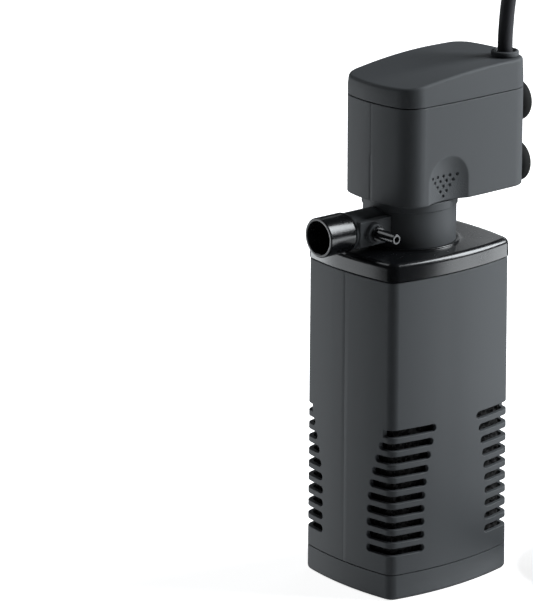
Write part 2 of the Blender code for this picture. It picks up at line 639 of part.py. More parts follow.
def make_coil_pack(parent):
    foot, top = COIL_FOOT_Z, COIL_FOOT_Z + COIL_HEIGHT
    inner, outer = COIL_MID_R - COIL_HALF_WIDTH, COIL_MID_R + COIL_HALF_WIDTH
    turned("cord_coil", [(inner, foot), (outer, foot), (outer, top), (inner, top)],
           "cord_pvc", parent, steps=32, place=(*COIL_CENTRE, 0))
    x, y = COIL_CENTRE[0], COIL_CENTRE[1] - COIL_MID_R
    half, wide, top = TIE_WIDTH / 2, COIL_HALF_WIDTH + TIE_ROOM, top + TIE_ROOM
    tie = block("cord_tie", (x - half, y - wide - TIE_THICK, 0.0001),
                (x + half, y + wide + TIE_THICK, top + TIE_THICK), "rubber", parent)
    cut(tie, block("tie_opening", (x - TIE_WIDTH, y - wide, 0.0006),
                   (x + TIE_WIDTH, y + wide, top)))


def make_plug(parent):
    front, z = PLUG_BACK_Y - PLUG_LENGTH, PLUG_HEIGHT / 2

    def section(ahead, half_x, half_z, corner):
        quarter = arc((half_x - corner, half_z - corner), corner, 0, 90, 3)
        half = quarter + [(-x, h) for x, h in reversed(quarter)]
        whole = half + [(x, -h) for x, h in reversed(half)]
        return [(PLUG_X + x, PLUG_BACK_Y - ahead, z + h) for x, h in whole]

    plug = loft("plug_body", [section(*shape) for shape in PLUG_SHAPE], "rubber", parent)
    root, tip, high = front + BLADE_ROOT, front - BLADE_LENGTH, BLADE_HEIGHT / 2
    for i, side in enumerate((-1, 1)):
        left, right = (PLUG_X + side * BLADE_X + half
                       for half in (-BLADE_THICK / 2, BLADE_THICK / 2))
        cut(plug, block(f"blade_hole_{i}", (left - GAP, front - 0.001, z - high - GAP),
                        (right + GAP, root + GAP, z + high + GAP)))
        block(f"plug_pin_{i + 1}", (left, tip, z - high), (right, root, z + high),
              "brass", parent)


def main():
    clear_scene()
    canister = pivot("canister_lift")
    lid = pivot("lid_lift")
    neck = pivot("neck_swivel")
    nozzle = pivot("nozzle_slide", (0, OUTLET_SEAM_Y, OUTLET_Z))
    head = pivot("head_lift")
    rotor = pivot("rotor_spin")

    make_base()
    make_canister(canister)
    make_lid(lid)
    make_core_tube(lid)
    make_sponge(lid)
    make_neck(neck)
    make_neck_seal(neck)
    make_air_inlet(neck)
    make_inlet_plate(neck)
    bush("lower_bush", 0.1432, 0.0040, neck)
    make_nozzle(nozzle)
    make_housing(head)
    make_cap(head)
    make_grommet(head)
    make_motor(head)
    make_resin(head)
    bush("upper_bush", 0.1887, -0.0040, head)
    rod("pump_shaft", SHAFT_R, 0.1445, 0.1874, "ceramic", head, steps=16)
    make_cups(head)
    make_rotor(rotor)
    cord_tube("power_cord", CORD_ROUTE, head)
    make_coil_pack(head)
    cord_tube("cord_tail", TAIL_ROUTE, head)
    make_plug(head)


main()
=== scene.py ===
"""Internal aquarium power filter: its finished look, built around the packed CAD model.

Metres, +Z up.  The canister's axis is the Z axis and its foot stands on Z = 0.  The
outlet points to -Y, the suction cups to +Y, the finger scoop and air inlet to +X.
"""

import math

import bmesh
import bpy
from mathutils import Matrix, Vector, noise


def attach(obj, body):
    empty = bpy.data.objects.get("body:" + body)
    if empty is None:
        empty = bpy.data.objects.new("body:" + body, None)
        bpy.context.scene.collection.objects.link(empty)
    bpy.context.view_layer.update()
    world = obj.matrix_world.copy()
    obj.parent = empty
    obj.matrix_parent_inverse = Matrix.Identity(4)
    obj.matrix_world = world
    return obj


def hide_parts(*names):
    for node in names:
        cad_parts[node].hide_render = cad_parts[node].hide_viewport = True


bl_info = {
    "name": "Aquarium Power Filter",
    "version": (1, 0, 0),
    "blender": (4, 5, 0),
    "location": "3D View > Sidebar > Filter",
    "description": "Builds an internal aquarium power filter and its studio",
    "category": "Object",
}

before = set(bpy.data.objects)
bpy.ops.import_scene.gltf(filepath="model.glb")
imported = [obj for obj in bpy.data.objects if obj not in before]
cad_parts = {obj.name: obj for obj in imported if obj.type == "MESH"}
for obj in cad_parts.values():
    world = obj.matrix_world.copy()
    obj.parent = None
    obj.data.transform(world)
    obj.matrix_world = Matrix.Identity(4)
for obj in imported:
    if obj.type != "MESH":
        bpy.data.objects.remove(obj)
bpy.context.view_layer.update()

# ---- sizes that repeat the CAD model's -----------------------------------------------
GAP = 0.0003          # between pieces that touch
CRISP = 0.0003        # edge round of most small moulded parts
WALL, HEAD_WALL = 0.0020, 0.0018

BODY_HALF = (0.0300, 0.0344)
BODY_BOW = (0.0032, 0.0020)
BODY_CORNER = 0.0046
BODY_DRAFT = 0.0006
BASE_SEAM_Z, LID_SEAM_Z, LID_TOP_Z = 0.0108, 0.1325, 0.1400
LID_PROUD, LID_ROUND = 0.0004, 0.0022
BASE_FLOOR_Z, BASE_PLUG_TOP_Z, LID_PLUG_LOW_Z, LID_BORE_LOW_Z = 0.0022, 0.0155, 0.1279, 0.1262
PARTING_HALF_WIDTH = 0.00025
FOAM_Z, FOAM_BORE_R = (0.0160, 0.1235), 0.0094
CORE_R, CORE_Z = (0.0076, 0.0090), (0.0060, 0.1272, 0.1290)    # heights: foot, flange and top

SLOTS, SLOT_HEIGHT, SLOT_PITCH, SLOT_LOWEST_Z = 10, 0.0031, 0.0055, 0.0205
WEB_X, WEB_Y = (0.0110, 0.0165), (0.0215, 0.0135)    # half width at the top row and the lowest
WEB_FLAT_SLOTS = 4

NECK_R, FLANGE_R, FLANGE_Z = 0.0187, 0.0192, 0.1554
CHAMBER_R, CHAMBER_Z = 0.0160, 0.1434
SPIGOT_R, SPIGOT_Z, INLET_R = 0.0130, 0.1300, 0.0106
GROOVE_Z, SEAL_MID_Z, SEAL_HALF = (0.1332, 0.1356), 0.1344, 0.00046
COLLAR_R, COLLAR_TOP_Z = (0.0190, 0.0208), 0.1408

OUTLET_Z, OUTLET_ROOT_R, OUTLET_SEAM_Y, OUTLET_BORE_R = 0.1486, 0.0075, -0.0342, 0.0062
NOZZLE_R, NOZZLE_LENGTH, NOZZLE_PLUG = 0.0080, 0.0138, 0.0056
AIR_Y, AIR_BOSS_R, AIR_BOSS_X, AIR_TUBE_R, AIR_TUBE_X = -0.0262, 0.0040, 0.0100, 0.0021, 0.0216

HEAD_HALF = (0.0215, 0.0345)
HEAD_CENTRE_Y = 0.0134
HEAD_BACK_Y = HEAD_CENTRE_Y + HEAD_HALF[1]
HEAD_BOW = (0.0005, 0.0013)
HEAD_CORNER = 0.0092
HEAD_BOTTOM_Z, CAP_SEAM_Z = 0.1589, 0.1990
CAP_FRONT_Z, CAP_TOP_Z, CAP_LEVEL_Y, CAP_DRAFT = 0.2064, 0.2110, 0.0300, 0.0003
SCOOP_Y, SCOOP_HALF_WIDTH, SCOOP_TOP_Z, SCOOP_DEPTH = 0.0016, 0.0104, 0.1776, 0.0024

DENSE_TOP_Z, DENSE_PITCH, DENSE_ROWS = 0.1782, 0.00016, 116    # close rows that draw the scoop
WELL_R, WELL_OUTER_R, WELL_TOP_Z = 0.0086, 0.0100, 0.1890
WELL_ROOF_Z, WELL_SHOULDER_Z = 0.1835, 0.1850                  # roof inside, shoulder outside
MAGNET_R, SHAFT_R, IMPELLER_R, BLADES = 0.0078, 0.0012, 0.0125, 6
MAGNET_Z, SHAFT_Z, WHEEL_Z = (0.1607, 0.1810), (0.1445, 0.1874), (0.1478, 0.1604)
BUSH_Z, BUSH_DEEP = (0.1432, 0.1887), 0.0040
CUP_R, CUP_RIM_Y, CUP_Z = 0.0086, 0.0587, (0.1879, 0.1625)

CORD_R, CORD_EXIT, GROMMET_R, GROMMET_TOP_Z = 0.0030, (0.0125, 0.0390), 0.0056, 0.2134
COIL_CENTRE, COIL_MID_R, COIL_HALF_WIDTH = (0.0590, 0.0750), 0.0330, 0.0092
COIL_FOOT_Z, COIL_HEIGHT, TIE_WIDTH = 0.0009, 0.0122, 0.0080
PLUG_X, PLUG_BACK_Y, PLUG_LENGTH = 0.0897, 0.0280, 0.0250
PLUG_HALF_WIDTH, PLUG_HEIGHT = 0.0115, 0.0125
RIBS, RIB_FIRST, RIB_PITCH, RIB_DEEP = 3, 0.0125, 0.0030, 0.0006
BLADE_X, BLADE_THICK, BLADE_HEIGHT, BLADE_LENGTH = 0.00635, 0.0015, 0.0063, 0.0170

CORD_ROUTE = (
    (0.0125, 0.0390, 0.2126), (0.0126, 0.0392, 0.2220), (0.0132, 0.0405, 0.2360),
    (0.0136, 0.0460, 0.2510), (0.0145, 0.0575, 0.2650), (0.0160, 0.0725, 0.2710),
    (0.0182, 0.0868, 0.2660), (0.0203, 0.0972, 0.2520), (0.0217, 0.1021, 0.2340),
    (0.0221, 0.1035, 0.2100), (0.0222, 0.1037, 0.1700), (0.0222, 0.1038, 0.1300),
    (0.0222, 0.1038, 0.0900), (0.0225, 0.1039, 0.0560), (0.0245, 0.1045, 0.0385),
    (0.0299, 0.1064, 0.0255), (0.0381, 0.1095, 0.0185),
)
TAIL_END = (0.0897, 0.0380, 0.00625)   # where the cord goes into the plug's relief


# ---- what a user may change ----------------------------------------------------------
def tone(name, description, default):
    return bpy.props.FloatVectorProperty(name=name, description=description, default=default,
                                         size=3, min=0.0, max=1.0, subtype="COLOR")


def length(name, description, default):
    return bpy.props.FloatProperty(name=name, description=description, default=default,
                                   min=0.0, precision=5, unit="LENGTH", subtype="DISTANCE")


def ratio(name, description, default, most=1.0):
    return bpy.props.FloatProperty(name=name, description=description, default=default,
                                   min=0.0, max=most)


def angle(name, description, default):
    return bpy.props.FloatProperty(name=name, description=description,
                                   default=math.radians(default), unit="ROTATION",
                                   subtype="ANGLE")


class FilterSizes(bpy.types.PropertyGroup):
    """Small sizes that the CAD model leaves to the finished look."""

    seam_round: length("Seam round", "Edge round on both sides of a seam", 0.00035)
    slot_round: length("Slot round", "Edge round on the canister's slots", 0.00030)
    roof_round: length("Roof round", "Edge round along the motor cap's roof", 0.0013)
    parting_depth: length("Parting line", "Depth of the mould's parting line", 0.00010)
    dimple_r: length("Dimple radius", "Radius of a grip dimple in the finger scoop", 0.00072)
    dimple_depth: length("Dimple depth", "Depth of a grip dimple", 0.00060)
    foam_cell: length("Foam cell", "Width of one open cell of the sponge", 0.0021)
    foam_pit: length("Foam pit", "Depth of the sponge's open cells", 0.0013)


class FilterFinishes(bpy.types.PropertyGroup):
    """Colours and gloss of the filter's materials."""

    shell: tone("Shell plastic", "Moulded housing plastic", (0.0042, 0.0046, 0.0054))
    shell_rough: ratio("Shell roughness", "Roughness of the housing plastic", 0.25)
    lid_rough: ratio("Lid roughness", "Roughness of the lid's smoother plastic", 0.22)
    inner: tone("Inner plastic", "Core tube and inlet plate", (0.020, 0.021, 0.023))
    foam: tone("Foam", "Open-cell filter sponge", (0.006, 0.006, 0.006))
    rubber: tone("Rubber", "Suction cups, seal, bushes, tie and plug", (0.004, 0.004, 0.004))
    cord: tone("Cord", "Mains cord's jacket", (0.022, 0.023, 0.026))
    magnet: tone("Magnet", "Ferrite rotor magnet", (0.045, 0.045, 0.048))
    impeller: tone("Impeller", "Moulded impeller", (0.52, 0.53, 0.55))
    ceramic: tone("Ceramic", "Pump shaft", (0.84, 0.83, 0.79))
    steel: tone("Steel", "Motor laminations", (0.42, 0.42, 0.43))
    nylon: tone("Nylon", "Coil bobbins", (0.68, 0.66, 0.58))
    copper: tone("Copper", "Coil windings", (0.62, 0.25, 0.12))
    resin: tone("Resin", "Potting resin", (0.060, 0.055, 0.050))
    brass: tone("Pins", "Plated plug pins", (0.72, 0.62, 0.42))


class FilterStudio(bpy.types.PropertyGroup):
    """Camera and light."""

    azimuth: angle("Azimuth", "Camera's turn round the filter from its outlet side", 49.8995)
    elevation: angle("Elevation", "Camera's height above the horizon", 16.6382)
    distance: length("Distance", "Camera's distance along its view", 1.715446)
    across: bpy.props.FloatProperty(name="Across", description="Camera's move to its right",
                                    default=-0.057061, unit="LENGTH")
    up: bpy.props.FloatProperty(name="Up", description="Camera's move upwards",
                                default=0.108849, unit="LENGTH")
    lens: bpy.props.FloatProperty(name="Lens", description="Focal length in millimetres",
                                  default=250.705, min=1.0)
    left_light: ratio("Left light", "Brightness of the left soft boxes", 6.2, 50.0)
    right_light: ratio("Right light", "Brightness of the right soft boxes", 4.8, 50.0)
    high_light: ratio("High lights", "Brightness of the high soft boxes", 15.0, 50.0)
    fill_light: ratio("Fill light", "Brightness of the surroundings", 0.03, 50.0)


def sizes():
    return bpy.context.scene.filter_sizes


def finishes():
    return bpy.context.scene.filter_finishes


# ---- shader tools --------------------------------------------------------------------
class Signal:
    """A shader value; arithmetic on it adds Math nodes."""

    def __init__(self, finish, socket):
        self.finish, self.socket = finish, socket

    def maths(self, operation, *values):
        return self.finish.node("ShaderNodeMath", {"operation": operation},
                                dict(enumerate(values)))

    def __add__(self, other):
        return self.maths("ADD", self, other)

    def __radd__(self, other):
        return self.maths("ADD", other, self)

    def __sub__(self, other):
        return self.maths("SUBTRACT", self, other)

    def __rsub__(self, other):
        return self.maths("SUBTRACT", other, self)

    def __mul__(self, other):
        return self.maths("MULTIPLY", self, other)

    def __rmul__(self, other):
        return self.maths("MULTIPLY", other, self)


class Finish:
    """One procedural material, on object coordinates."""

    def __init__(self, name, colour, roughness, **constants):
        self.material = bpy.data.materials.new(name)
        self.material.use_nodes = True
        self.tree = self.material.node_tree
        self.shader = self.tree.nodes["Principled BSDF"]
        self.material.diffuse_color = (*colour, 1.0)
        self.place = self.node("ShaderNodeTexCoord", output="Object")
        self.put("Base Color", (*colour, 1.0))
        self.put("Roughness", roughness)
        for key, value in constants.items():
            self.put(key.replace("_", " "), value)

    def node(self, kind, settings=None, values=None, output=0):
        """Any node: its settings first, then the values or links of its sockets."""
        node = self.tree.nodes.new(kind)
        for key, value in (settings or {}).items():
            setattr(node, key, value)
        for key, value in (values or {}).items():
            self.feed(node.inputs[key], value)
        return Signal(self, node.outputs[output])

    def feed(self, socket, value):
        if isinstance(value, Signal):
            self.tree.links.new(value.socket, socket)
        else:
            socket.default_value = value

    def put(self, name, value):
        self.feed(self.shader.inputs[name], value)

    def noise(self, size, detail=2.0, stretch=None):
        """Smooth noise whose features are about one size wide."""
        place = self.place
        if stretch:
            place = self.node("ShaderNodeMapping", {}, {"Vector": place, "Scale": stretch})
        return self.node("ShaderNodeTexNoise", {}, {
            "Vector": place, "Scale": 1.0 / size, "Detail": detail})

    def step(self, value, low, high):
        """0 below low and 1 above high."""
        return self.node("ShaderNodeMapRange", {"interpolation_type": "SMOOTHSTEP"}, {
            "Value": value, "From Min": low, "From Max": high})

    def mix(self, factor, low, high):
        """Colour between two colours."""
        return self.node("ShaderNodeMix", {"data_type": "RGBA"}, {
            0: factor, 6: (*low, 1.0), 7: (*high, 1.0)}, output=2)

    def bump(self, height, distance):
        self.put("Normal", self.node("ShaderNodeBump", {}, {
            "Height": height, "Distance": distance, "Strength": 1.0}))


def scaled(colour, factor):
    return tuple(min(part * factor, 1.0) for part in colour)


def moulded(name, colour, roughness, grain=0.00045, depth=0.000007, **constants):
    """Moulded plastic: fine grain, faint flow marks and a slightly uneven sheen."""
    made = Finish(name, colour, roughness, **constants)
    fine, flow = made.noise(grain, 3.0), made.noise(0.016, 3.0, (1.0, 1.0, 0.45))
    speck = made.step(made.noise(0.0011, 1.0), 0.66, 0.74)
    made.put("Base Color", made.mix(flow, scaled(colour, 0.75), scaled(colour, 1.3)))
    made.put("Roughness", roughness - 0.09 + flow * 0.12 + fine * 0.07 + speck * 0.05)
    made.bump(fine + flow * 0.6, depth)
    return made.material


def rubbery(name, colour, roughness, grain=0.0006):
    """Soft rubber or PVC with a dusty bloom."""
    made = Finish(name, colour, roughness, Specular_IOR_Level=0.28)
    fine, bloom = made.noise(grain, 3.0), made.noise(0.007, 4.0)
    made.put("Base Color", made.mix(made.step(bloom, 0.42, 0.75), colour, scaled(colour, 1.8)))
    made.put("Roughness", roughness + bloom * 0.14 - 0.07)
    made.bump(fine, 0.00002)
    return made.material


def foamy(name, colour):
    """Open-cell foam whose thin strands glint against black pores."""
    made = Finish(name, colour, 0.5)
    cells = made.node("ShaderNodeTexVoronoi", {"feature": "DISTANCE_TO_EDGE"}, {
        "Vector": made.place, "Scale": 1.0 / 0.0016})
    strand = 1.0 - made.step(cells, 0.03, 0.11)
    # painted highlight: random spots on the strands are coloured pale grey to stand in for
    # strands catching the light
    painted_glint = made.step(made.noise(0.0009, 2.0), 0.57, 0.63) * strand
    made.put("Base Color", made.mix(painted_glint, colour, (0.30, 0.30, 0.31)))
    made.put("Roughness", 0.62 - 0.34 * strand)
    made.bump(strand + made.noise(0.0005) * 0.5, 0.00035)
    return made.material


def banded(name, colour, pitch, roughness, metallic, direction="Z", depth=0.00006):
    """Stacked sheets or wound wire: fine bands along one axis."""
    made = Finish(name, colour, roughness, Metallic=metallic)
    bands = made.node("ShaderNodeTexWave", {"bands_direction": direction}, {
        "Vector": made.place, "Scale": math.tau / (20.0 * pitch), "Distortion": 0.0})
    patch = made.noise(0.004, 2.0)
    made.put("Base Color", made.mix(bands * 0.7 + patch * 0.3, scaled(colour, 0.45), colour))
    made.put("Roughness", roughness + patch * 0.15)
    made.bump(bands, depth)
    return made.material


def polished(name, colour, roughness, metallic=0.0, grain=0.0008):
    """Smooth hard surface with fine handling marks."""
    made = Finish(name, colour, roughness, Metallic=metallic)
    marks, patch = made.noise(grain, 4.0), made.noise(0.005, 2.0)
    made.put("Base Color", made.mix(patch, scaled(colour, 0.85), scaled(colour, 1.05)))
    made.put("Roughness", roughness - 0.05 + marks * 0.12)
    made.bump(marks, 0.000006)
    return made.material


MAKERS = {
    "shell_plastic": lambda f: moulded("shell_plastic", f.shell, f.shell_rough),
    "lid_plastic": lambda f: moulded("lid_plastic", f.shell, f.lid_rough, 0.0006, 0.000008),
    "inner_plastic": lambda f: moulded("inner_plastic", f.inner, 0.45),
    "foam": lambda f: foamy("foam", f.foam),
    "rubber": lambda f: rubbery("rubber", f.rubber, 0.52),
    "cord_pvc": lambda f: rubbery("cord_pvc", f.cord, 0.40, 0.0009),
    "magnet": lambda f: polished("magnet", f.magnet, 0.45, 0.2),
    "impeller_plastic": lambda f: moulded("impeller_plastic", f.impeller, 0.38),
    "ceramic": lambda f: polished("ceramic", f.ceramic, 0.20),
    "steel": lambda f: banded("steel", f.steel, 0.0005, 0.35, 1.0),
    "bobbin_nylon": lambda f: moulded("bobbin_nylon", f.nylon, 0.42),
    "copper": lambda f: banded("copper", f.copper, 0.00035, 0.25, 1.0, "Y"),
    "resin": lambda f: polished("resin", f.resin, 0.22, 0.0, 0.002),
    "brass": lambda f: polished("brass", f.brass, 0.25, 1.0, 0.0005),
}


def material(name):
    """A finish by name, made once."""
    return bpy.data.materials.get(name) or MAKERS[name](finishes())


# ---- mesh tools ----------------------------------------------------------------------
def placed(name, data):
    """New object in the scene."""
    made = bpy.data.objects.new(name, data)
    bpy.context.scene.collection.objects.link(made)
    return made


def mesh_from(bm, name="scratch"):
    """Mesh made from a bmesh, which is used up."""
    mesh = bpy.data.meshes.new(name)
    bm.to_mesh(mesh)
    bm.free()
    return mesh


def piece(name, bm, finish, body, nodes=(), sharp=32.0, weighted=True):
    """Object from a finished bmesh: shaded, given its finish, and riding on its body."""
    if not bm.faces:
        raise RuntimeError(f"{name} has no faces")
    mesh = mesh_from(bm, name)
    mesh.shade_smooth()
    mesh.set_sharp_from_angle(angle=math.radians(sharp))
    made = placed(name, mesh)
    mesh.materials.clear()
    mesh.materials.append(material(finish))
    if weighted:
        made.modifiers.new("Even shading", "WEIGHTED_NORMAL").keep_sharp = True
    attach(made, body)
    if nodes:
        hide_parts(*nodes)
    return made


def bevel(bm, parts, offset, segments, affect="EDGES"):
    bmesh.ops.bevel(bm, geom=parts, offset=offset, offset_type="OFFSET", segments=segments,
                    profile=0.5, affect=affect, clamp_overlap=False, material=-1)


def profile(*corners):
    """Polyline of (distance, height[, round]) corners; a corner with a round is arced."""
    bm = bmesh.new()
    verts = [bm.verts.new((corner[0], 0.0, corner[1])) for corner in corners]
    for pair in zip(verts, verts[1:]):
        bm.edges.new(pair)
    first = verts[0]
    for vert, corner in zip(verts, corners, strict=True):
        if len(corner) > 2:
            steps = 6 if corner[2] > 0.001 else 4 if corner[2] > 0.0002 else 2
            bevel(bm, [vert], corner[2], steps, "VERTICES")
    points, edge, vert = [first.co.xz.copy()], None, first
    while True:
        onward = [e for e in vert.link_edges if e is not edge]
        if not onward:
            break
        edge = onward[0]
        vert = edge.other_vert(vert)
        points.append(vert.co.xz.copy())
    bm.free()
    return points


def oriented(bm, place=(0, 0, 0), turn=None):
    """Turn and move a whole bmesh from its own axis to its place."""
    matrix = Matrix.Translation(place)
    if turn:
        matrix = matrix @ Matrix.Rotation(math.radians(turn[0]), 4, turn[1])
    bmesh.ops.transform(bm, matrix=matrix, verts=bm.verts[:])
    return bm


TO_FRONT, TO_BACK, TO_RIGHT = (90, "X"), (-90, "X"), (90, "Y")


def turned(points, steps=96, place=(0, 0, 0), turn=None, ring=False):
    """Solid of revolution about local Z; ring closes the profile on itself."""
    bm = bmesh.new()
    verts = [bm.verts.new((max(radius, 0.0), 0.0, height)) for radius, height in points]
    pairs = list(zip(verts, verts[1:]))
    if ring:
        pairs.append((verts[-1], verts[0]))
    edges = [bm.edges.new(pair) for pair in pairs]
    bmesh.ops.spin(bm, geom=verts + edges, cent=(0, 0, 0), axis=(0, 0, 1),
                   angle=math.tau, steps=steps, use_merge=True)
    bmesh.ops.remove_doubles(bm, verts=bm.verts[:], dist=1e-6)
    bmesh.ops.recalc_face_normals(bm, faces=bm.faces[:])
    return oriented(bm, place, turn)


def bar(low, high):
    """Box between two corners."""
    bm = bmesh.new()
    size, centre = Vector(high) - Vector(low), (Vector(high) + Vector(low)) / 2
    bmesh.ops.create_cube(bm, size=1.0,
                          matrix=Matrix.Translation(centre) @ Matrix.Diagonal((*size, 1.0)))
    return bm


def drawn_outline(half, bow, corner, centre_y=0.0, side=12, turn=10, dense=0, line=0.0):
    """Rounded rectangle with bowed sides, drawn by turning one vertex round each arc's
    centre.  dense puts that many steps on the lower half of the +X side, and line keeps
    three points that far apart in the middle of the -Y side for the parting line.

    Gives each point with its outward direction."""
    key_x, key_y = half[0] - corner - bow[0], half[1] - corner - bow[1]
    big_x = (key_y**2 + bow[0]**2) / (2 * bow[0])
    big_y = (key_x**2 + bow[1]**2) / (2 * bow[1])
    open_x, open_y = math.asin(key_y / big_x), math.asin(key_x / big_y)
    round_corner = math.pi / 2 - open_x - open_y
    far_x, far_y = key_x + bow[0] - big_x, key_y + bow[1] - big_y
    small = line / (big_y + corner)
    front = ([(open_y - small, side), (small, 1), (small, 1), (open_y - small, side)]
             if line else [(open_y, side), (open_y, side)])
    arcs = [((far_x, 0), open_x, side), ((key_x, key_y), round_corner, turn),
            ((0, far_y), 2 * open_y, 2 * side), ((-key_x, key_y), round_corner, turn),
            ((-far_x, 0), 2 * open_x, 2 * side), ((-key_x, -key_y), round_corner, turn),
            *(((0, -far_y), sweep, steps) for sweep, steps in front),
            ((key_x, -key_y), round_corner, turn), ((far_x, 0), open_x, dense or side)]
    bm = bmesh.new()
    last = bm.verts.new((half[0], 0.0, 0.0))
    for (x, y), sweep, steps in arcs:
        made = bmesh.ops.spin(bm, geom=[last], cent=(x, y, 0), axis=(0, 0, 1), angle=sweep,
                              steps=steps)
        last = next(part for part in made["geom_last"] if isinstance(part, bmesh.types.BMVert))
    points = [vert.co.copy() for vert in bm.verts][:-1]
    bm.free()
    outward = []
    for i, _ in enumerate(points):
        along = points[(i + 1) % len(points)] - points[i - 1]
        outward.append(Vector((along.y, -along.x, 0.0)).normalized())
    shift = Vector((0.0, centre_y, 0.0))
    return [(point + shift, out) for point, out in zip(points, outward, strict=True)]


def level(outline, inset, height):
    """Ring at one height, drawn in from the outline; height may follow the point."""
    ring = []
    for point, out in outline:
        place = point - out * inset
        place.z = height(place) if callable(height) else height
        ring.append(place)
    return ring


def hoop(outline, radius, height):
    """Circle about the Z axis whose points face the outline's."""
    ring = []
    for point, _ in outline:
        place = point.normalized() * radius
        place.z = height
        ring.append(place)
    return ring


def grown(rings, tube=False):
    """Closed skin made ring by ring: each ring is the one before it, extruded and placed."""
    bm = bmesh.new()
    station = bm.verts.layers.int.new("station")
    bmesh.ops.create_circle(bm, segments=len(rings[0]), radius=1.0, cap_ends=False)
    for i, vert in enumerate(bm.verts):
        vert[station] = i
        vert.co = rings[0][i]
    edges = first = bm.edges[:]
    for ring in rings[1:]:
        made = bmesh.ops.extrude_edge_only(bm, edges=edges)["geom"]
        edges = [part for part in made if isinstance(part, bmesh.types.BMEdge)]
        for vert in {vert for edge in edges for vert in edge.verts}:
            vert.co = ring[vert[station]]
    if tube:
        bmesh.ops.remove_doubles(bm, verts=bm.verts[:], dist=1e-7)
    else:
        bmesh.ops.contextual_create(bm, geom=first)
        bmesh.ops.contextual_create(bm, geom=edges)
    bmesh.ops.recalc_face_normals(bm, faces=bm.faces[:])
    return bm


def drafted(bm):
    """Give canister pieces the mould's draft: a little narrower towards the lid."""
    for vert in bm.verts:
        rise = (vert.co.z - BASE_SEAM_Z) / (LID_SEAM_Z - BASE_SEAM_Z)
        vert.co.x *= 1 - BODY_DRAFT / BODY_HALF[0] * rise
        vert.co.y *= 1 - BODY_DRAFT / BODY_HALF[1] * rise
    return bm


def scratch(bm):
    """Helper object, which carved() removes again."""
    return placed("scratch", mesh_from(bm))


def carved(bm, *tools):
    """Apply ("cut" or "weld", bmesh) tools to a solid in order, and return the result."""
    target = scratch(bm)
    helpers = []
    for kind, tool in tools:
        helpers.append(scratch(tool))
        modifier = target.modifiers.new(kind, "BOOLEAN")
        modifier.operation = "DIFFERENCE" if kind == "cut" else "UNION"
        modifier.solver = "EXACT"
        modifier.object = helpers[-1]
    graph = bpy.context.evaluated_depsgraph_get()
    mesh = bpy.data.meshes.new_from_object(target.evaluated_get(graph))
    result = bmesh.new()
    result.from_mesh(mesh)
    bpy.data.meshes.remove(mesh)
    for used in (target, *helpers):
        data = used.data
        bpy.data.objects.remove(used)
        bpy.data.meshes.remove(data)
    if not result.faces:
        raise RuntimeError("a cut left nothing")
    return result


def soften(bm, offset, chosen, least=40.0, segments=3):
    """Round the edges that are sharper than least degrees and that chosen() accepts."""
    bm.normal_update()
    edges = [edge for edge in bm.edges if edge.is_manifold
             and edge.calc_face_angle(0.0) > math.radians(least)
             and chosen((edge.verts[0].co + edge.verts[1].co) / 2)]
    bevel(bm, edges, offset, segments)
    return bm


def body_outline(side=12, turn=10, line=0.0):
    return drawn_outline(BODY_HALF, BODY_BOW, BODY_CORNER, 0.0, side, turn, 0, line)


def body_rings(outline, *corners):
    """Canister rings from a profile of (inset, height[, round]) corners."""
    return [level(outline, inset, height) for inset, height in profile(*corners)]


# ---- studio --------------------------------------------------------------------------
def build_studio():
    """Camera, floor and soft light"""
    studio = bpy.context.scene.filter_studio
    turn, rise = studio.azimuth, studio.elevation
    back = Vector((math.sin(turn) * math.cos(rise), -math.cos(turn) * math.cos(rise),
                   math.sin(rise)))
    right = Vector((math.cos(turn), math.sin(turn), 0.0))
    data = bpy.data.cameras.new("camera")
    data.sensor_fit = "AUTO"
    data.sensor_width = 36.0
    data.lens = studio.lens
    camera = placed("camera", data)
    camera.location = (back * studio.distance + right * studio.across
                       + back.cross(right) * studio.up)
    camera.rotation_mode = "QUATERNION"
    camera.rotation_quaternion = (-back).to_track_quat("-Z", "Y")
    bpy.context.scene.camera = camera
    add_floor()
    # name, turn in degrees, distance, lowest and highest edge, width, brightness
    for name, turn, away, low, high, wide, brightness in (
            ("left_low", -70.0, 1.35, -0.75, 0.0, 0.60, studio.left_light),
            ("front_low", -43.0, 1.35, -0.75, 0.0, 0.60, 0.34 * studio.left_light),
            ("right_low", 133.0, 1.35, -0.75, 0.0, 0.55, studio.right_light),
            ("right_far", 158.0, 1.35, -0.75, 0.0, 0.60, studio.right_light),
            ("left_high", -69.0, 1.15, 0.90, 1.50, 0.90, 0.16 * studio.high_light),
            ("right_high", 148.0, 1.20, 0.45, 1.40, 0.80, studio.high_light),
            ("behind", 210.0, 1.35, 0.10, 1.00, 0.80, 0.05 * studio.high_light)):
        add_light(name, turn, away, (low, high), wide, brightness)
    add_surroundings(studio.fill_light)
    view = bpy.context.scene.view_settings
    view.view_transform, view.look = "Standard", "None"


def add_floor():
    bm = bmesh.new()
    bmesh.ops.create_grid(bm, x_segments=1, y_segments=1, size=8.0)
    floor = placed("floor", mesh_from(bm, "floor"))
    made = Finish("floor_white", (0.9, 0.9, 0.9), 0.9, Specular_IOR_Level=0.0,
                  Emission_Strength=0.85)
    seen = made.node("ShaderNodeLightPath", {}, {}, output="Is Camera Ray")
    made.put("Emission Color", made.mix(seen, (0.0, 0.0, 0.0), (1.0, 1.0, 1.0)))
    floor.data.materials.append(made.material)
    floor.visible_glossy = False
    floor.visible_shadow = False


def add_light(name, azimuth, away, span, wide, brightness):
    """A soft box of a given brightness that faces the filter."""
    data = bpy.data.lights.new(name, "AREA")
    data.shape = "RECTANGLE"
    data.size, data.size_y = wide, span[1] - span[0]
    data.color = (0.93, 0.97, 1.0)
    data.energy = brightness * math.pi * data.size * data.size_y
    light = placed(name, data)
    turn = math.radians(azimuth)
    light.location = (math.sin(turn) * away, -math.cos(turn) * away, sum(span) / 2)
    aim = Vector((0.0, 0.0, 0.12)) - light.location
    if span[1] <= 1.0:
        aim.z = 0.0
    light.rotation_mode = "QUATERNION"
    light.rotation_quaternion = aim.to_track_quat("-Z", "Y")


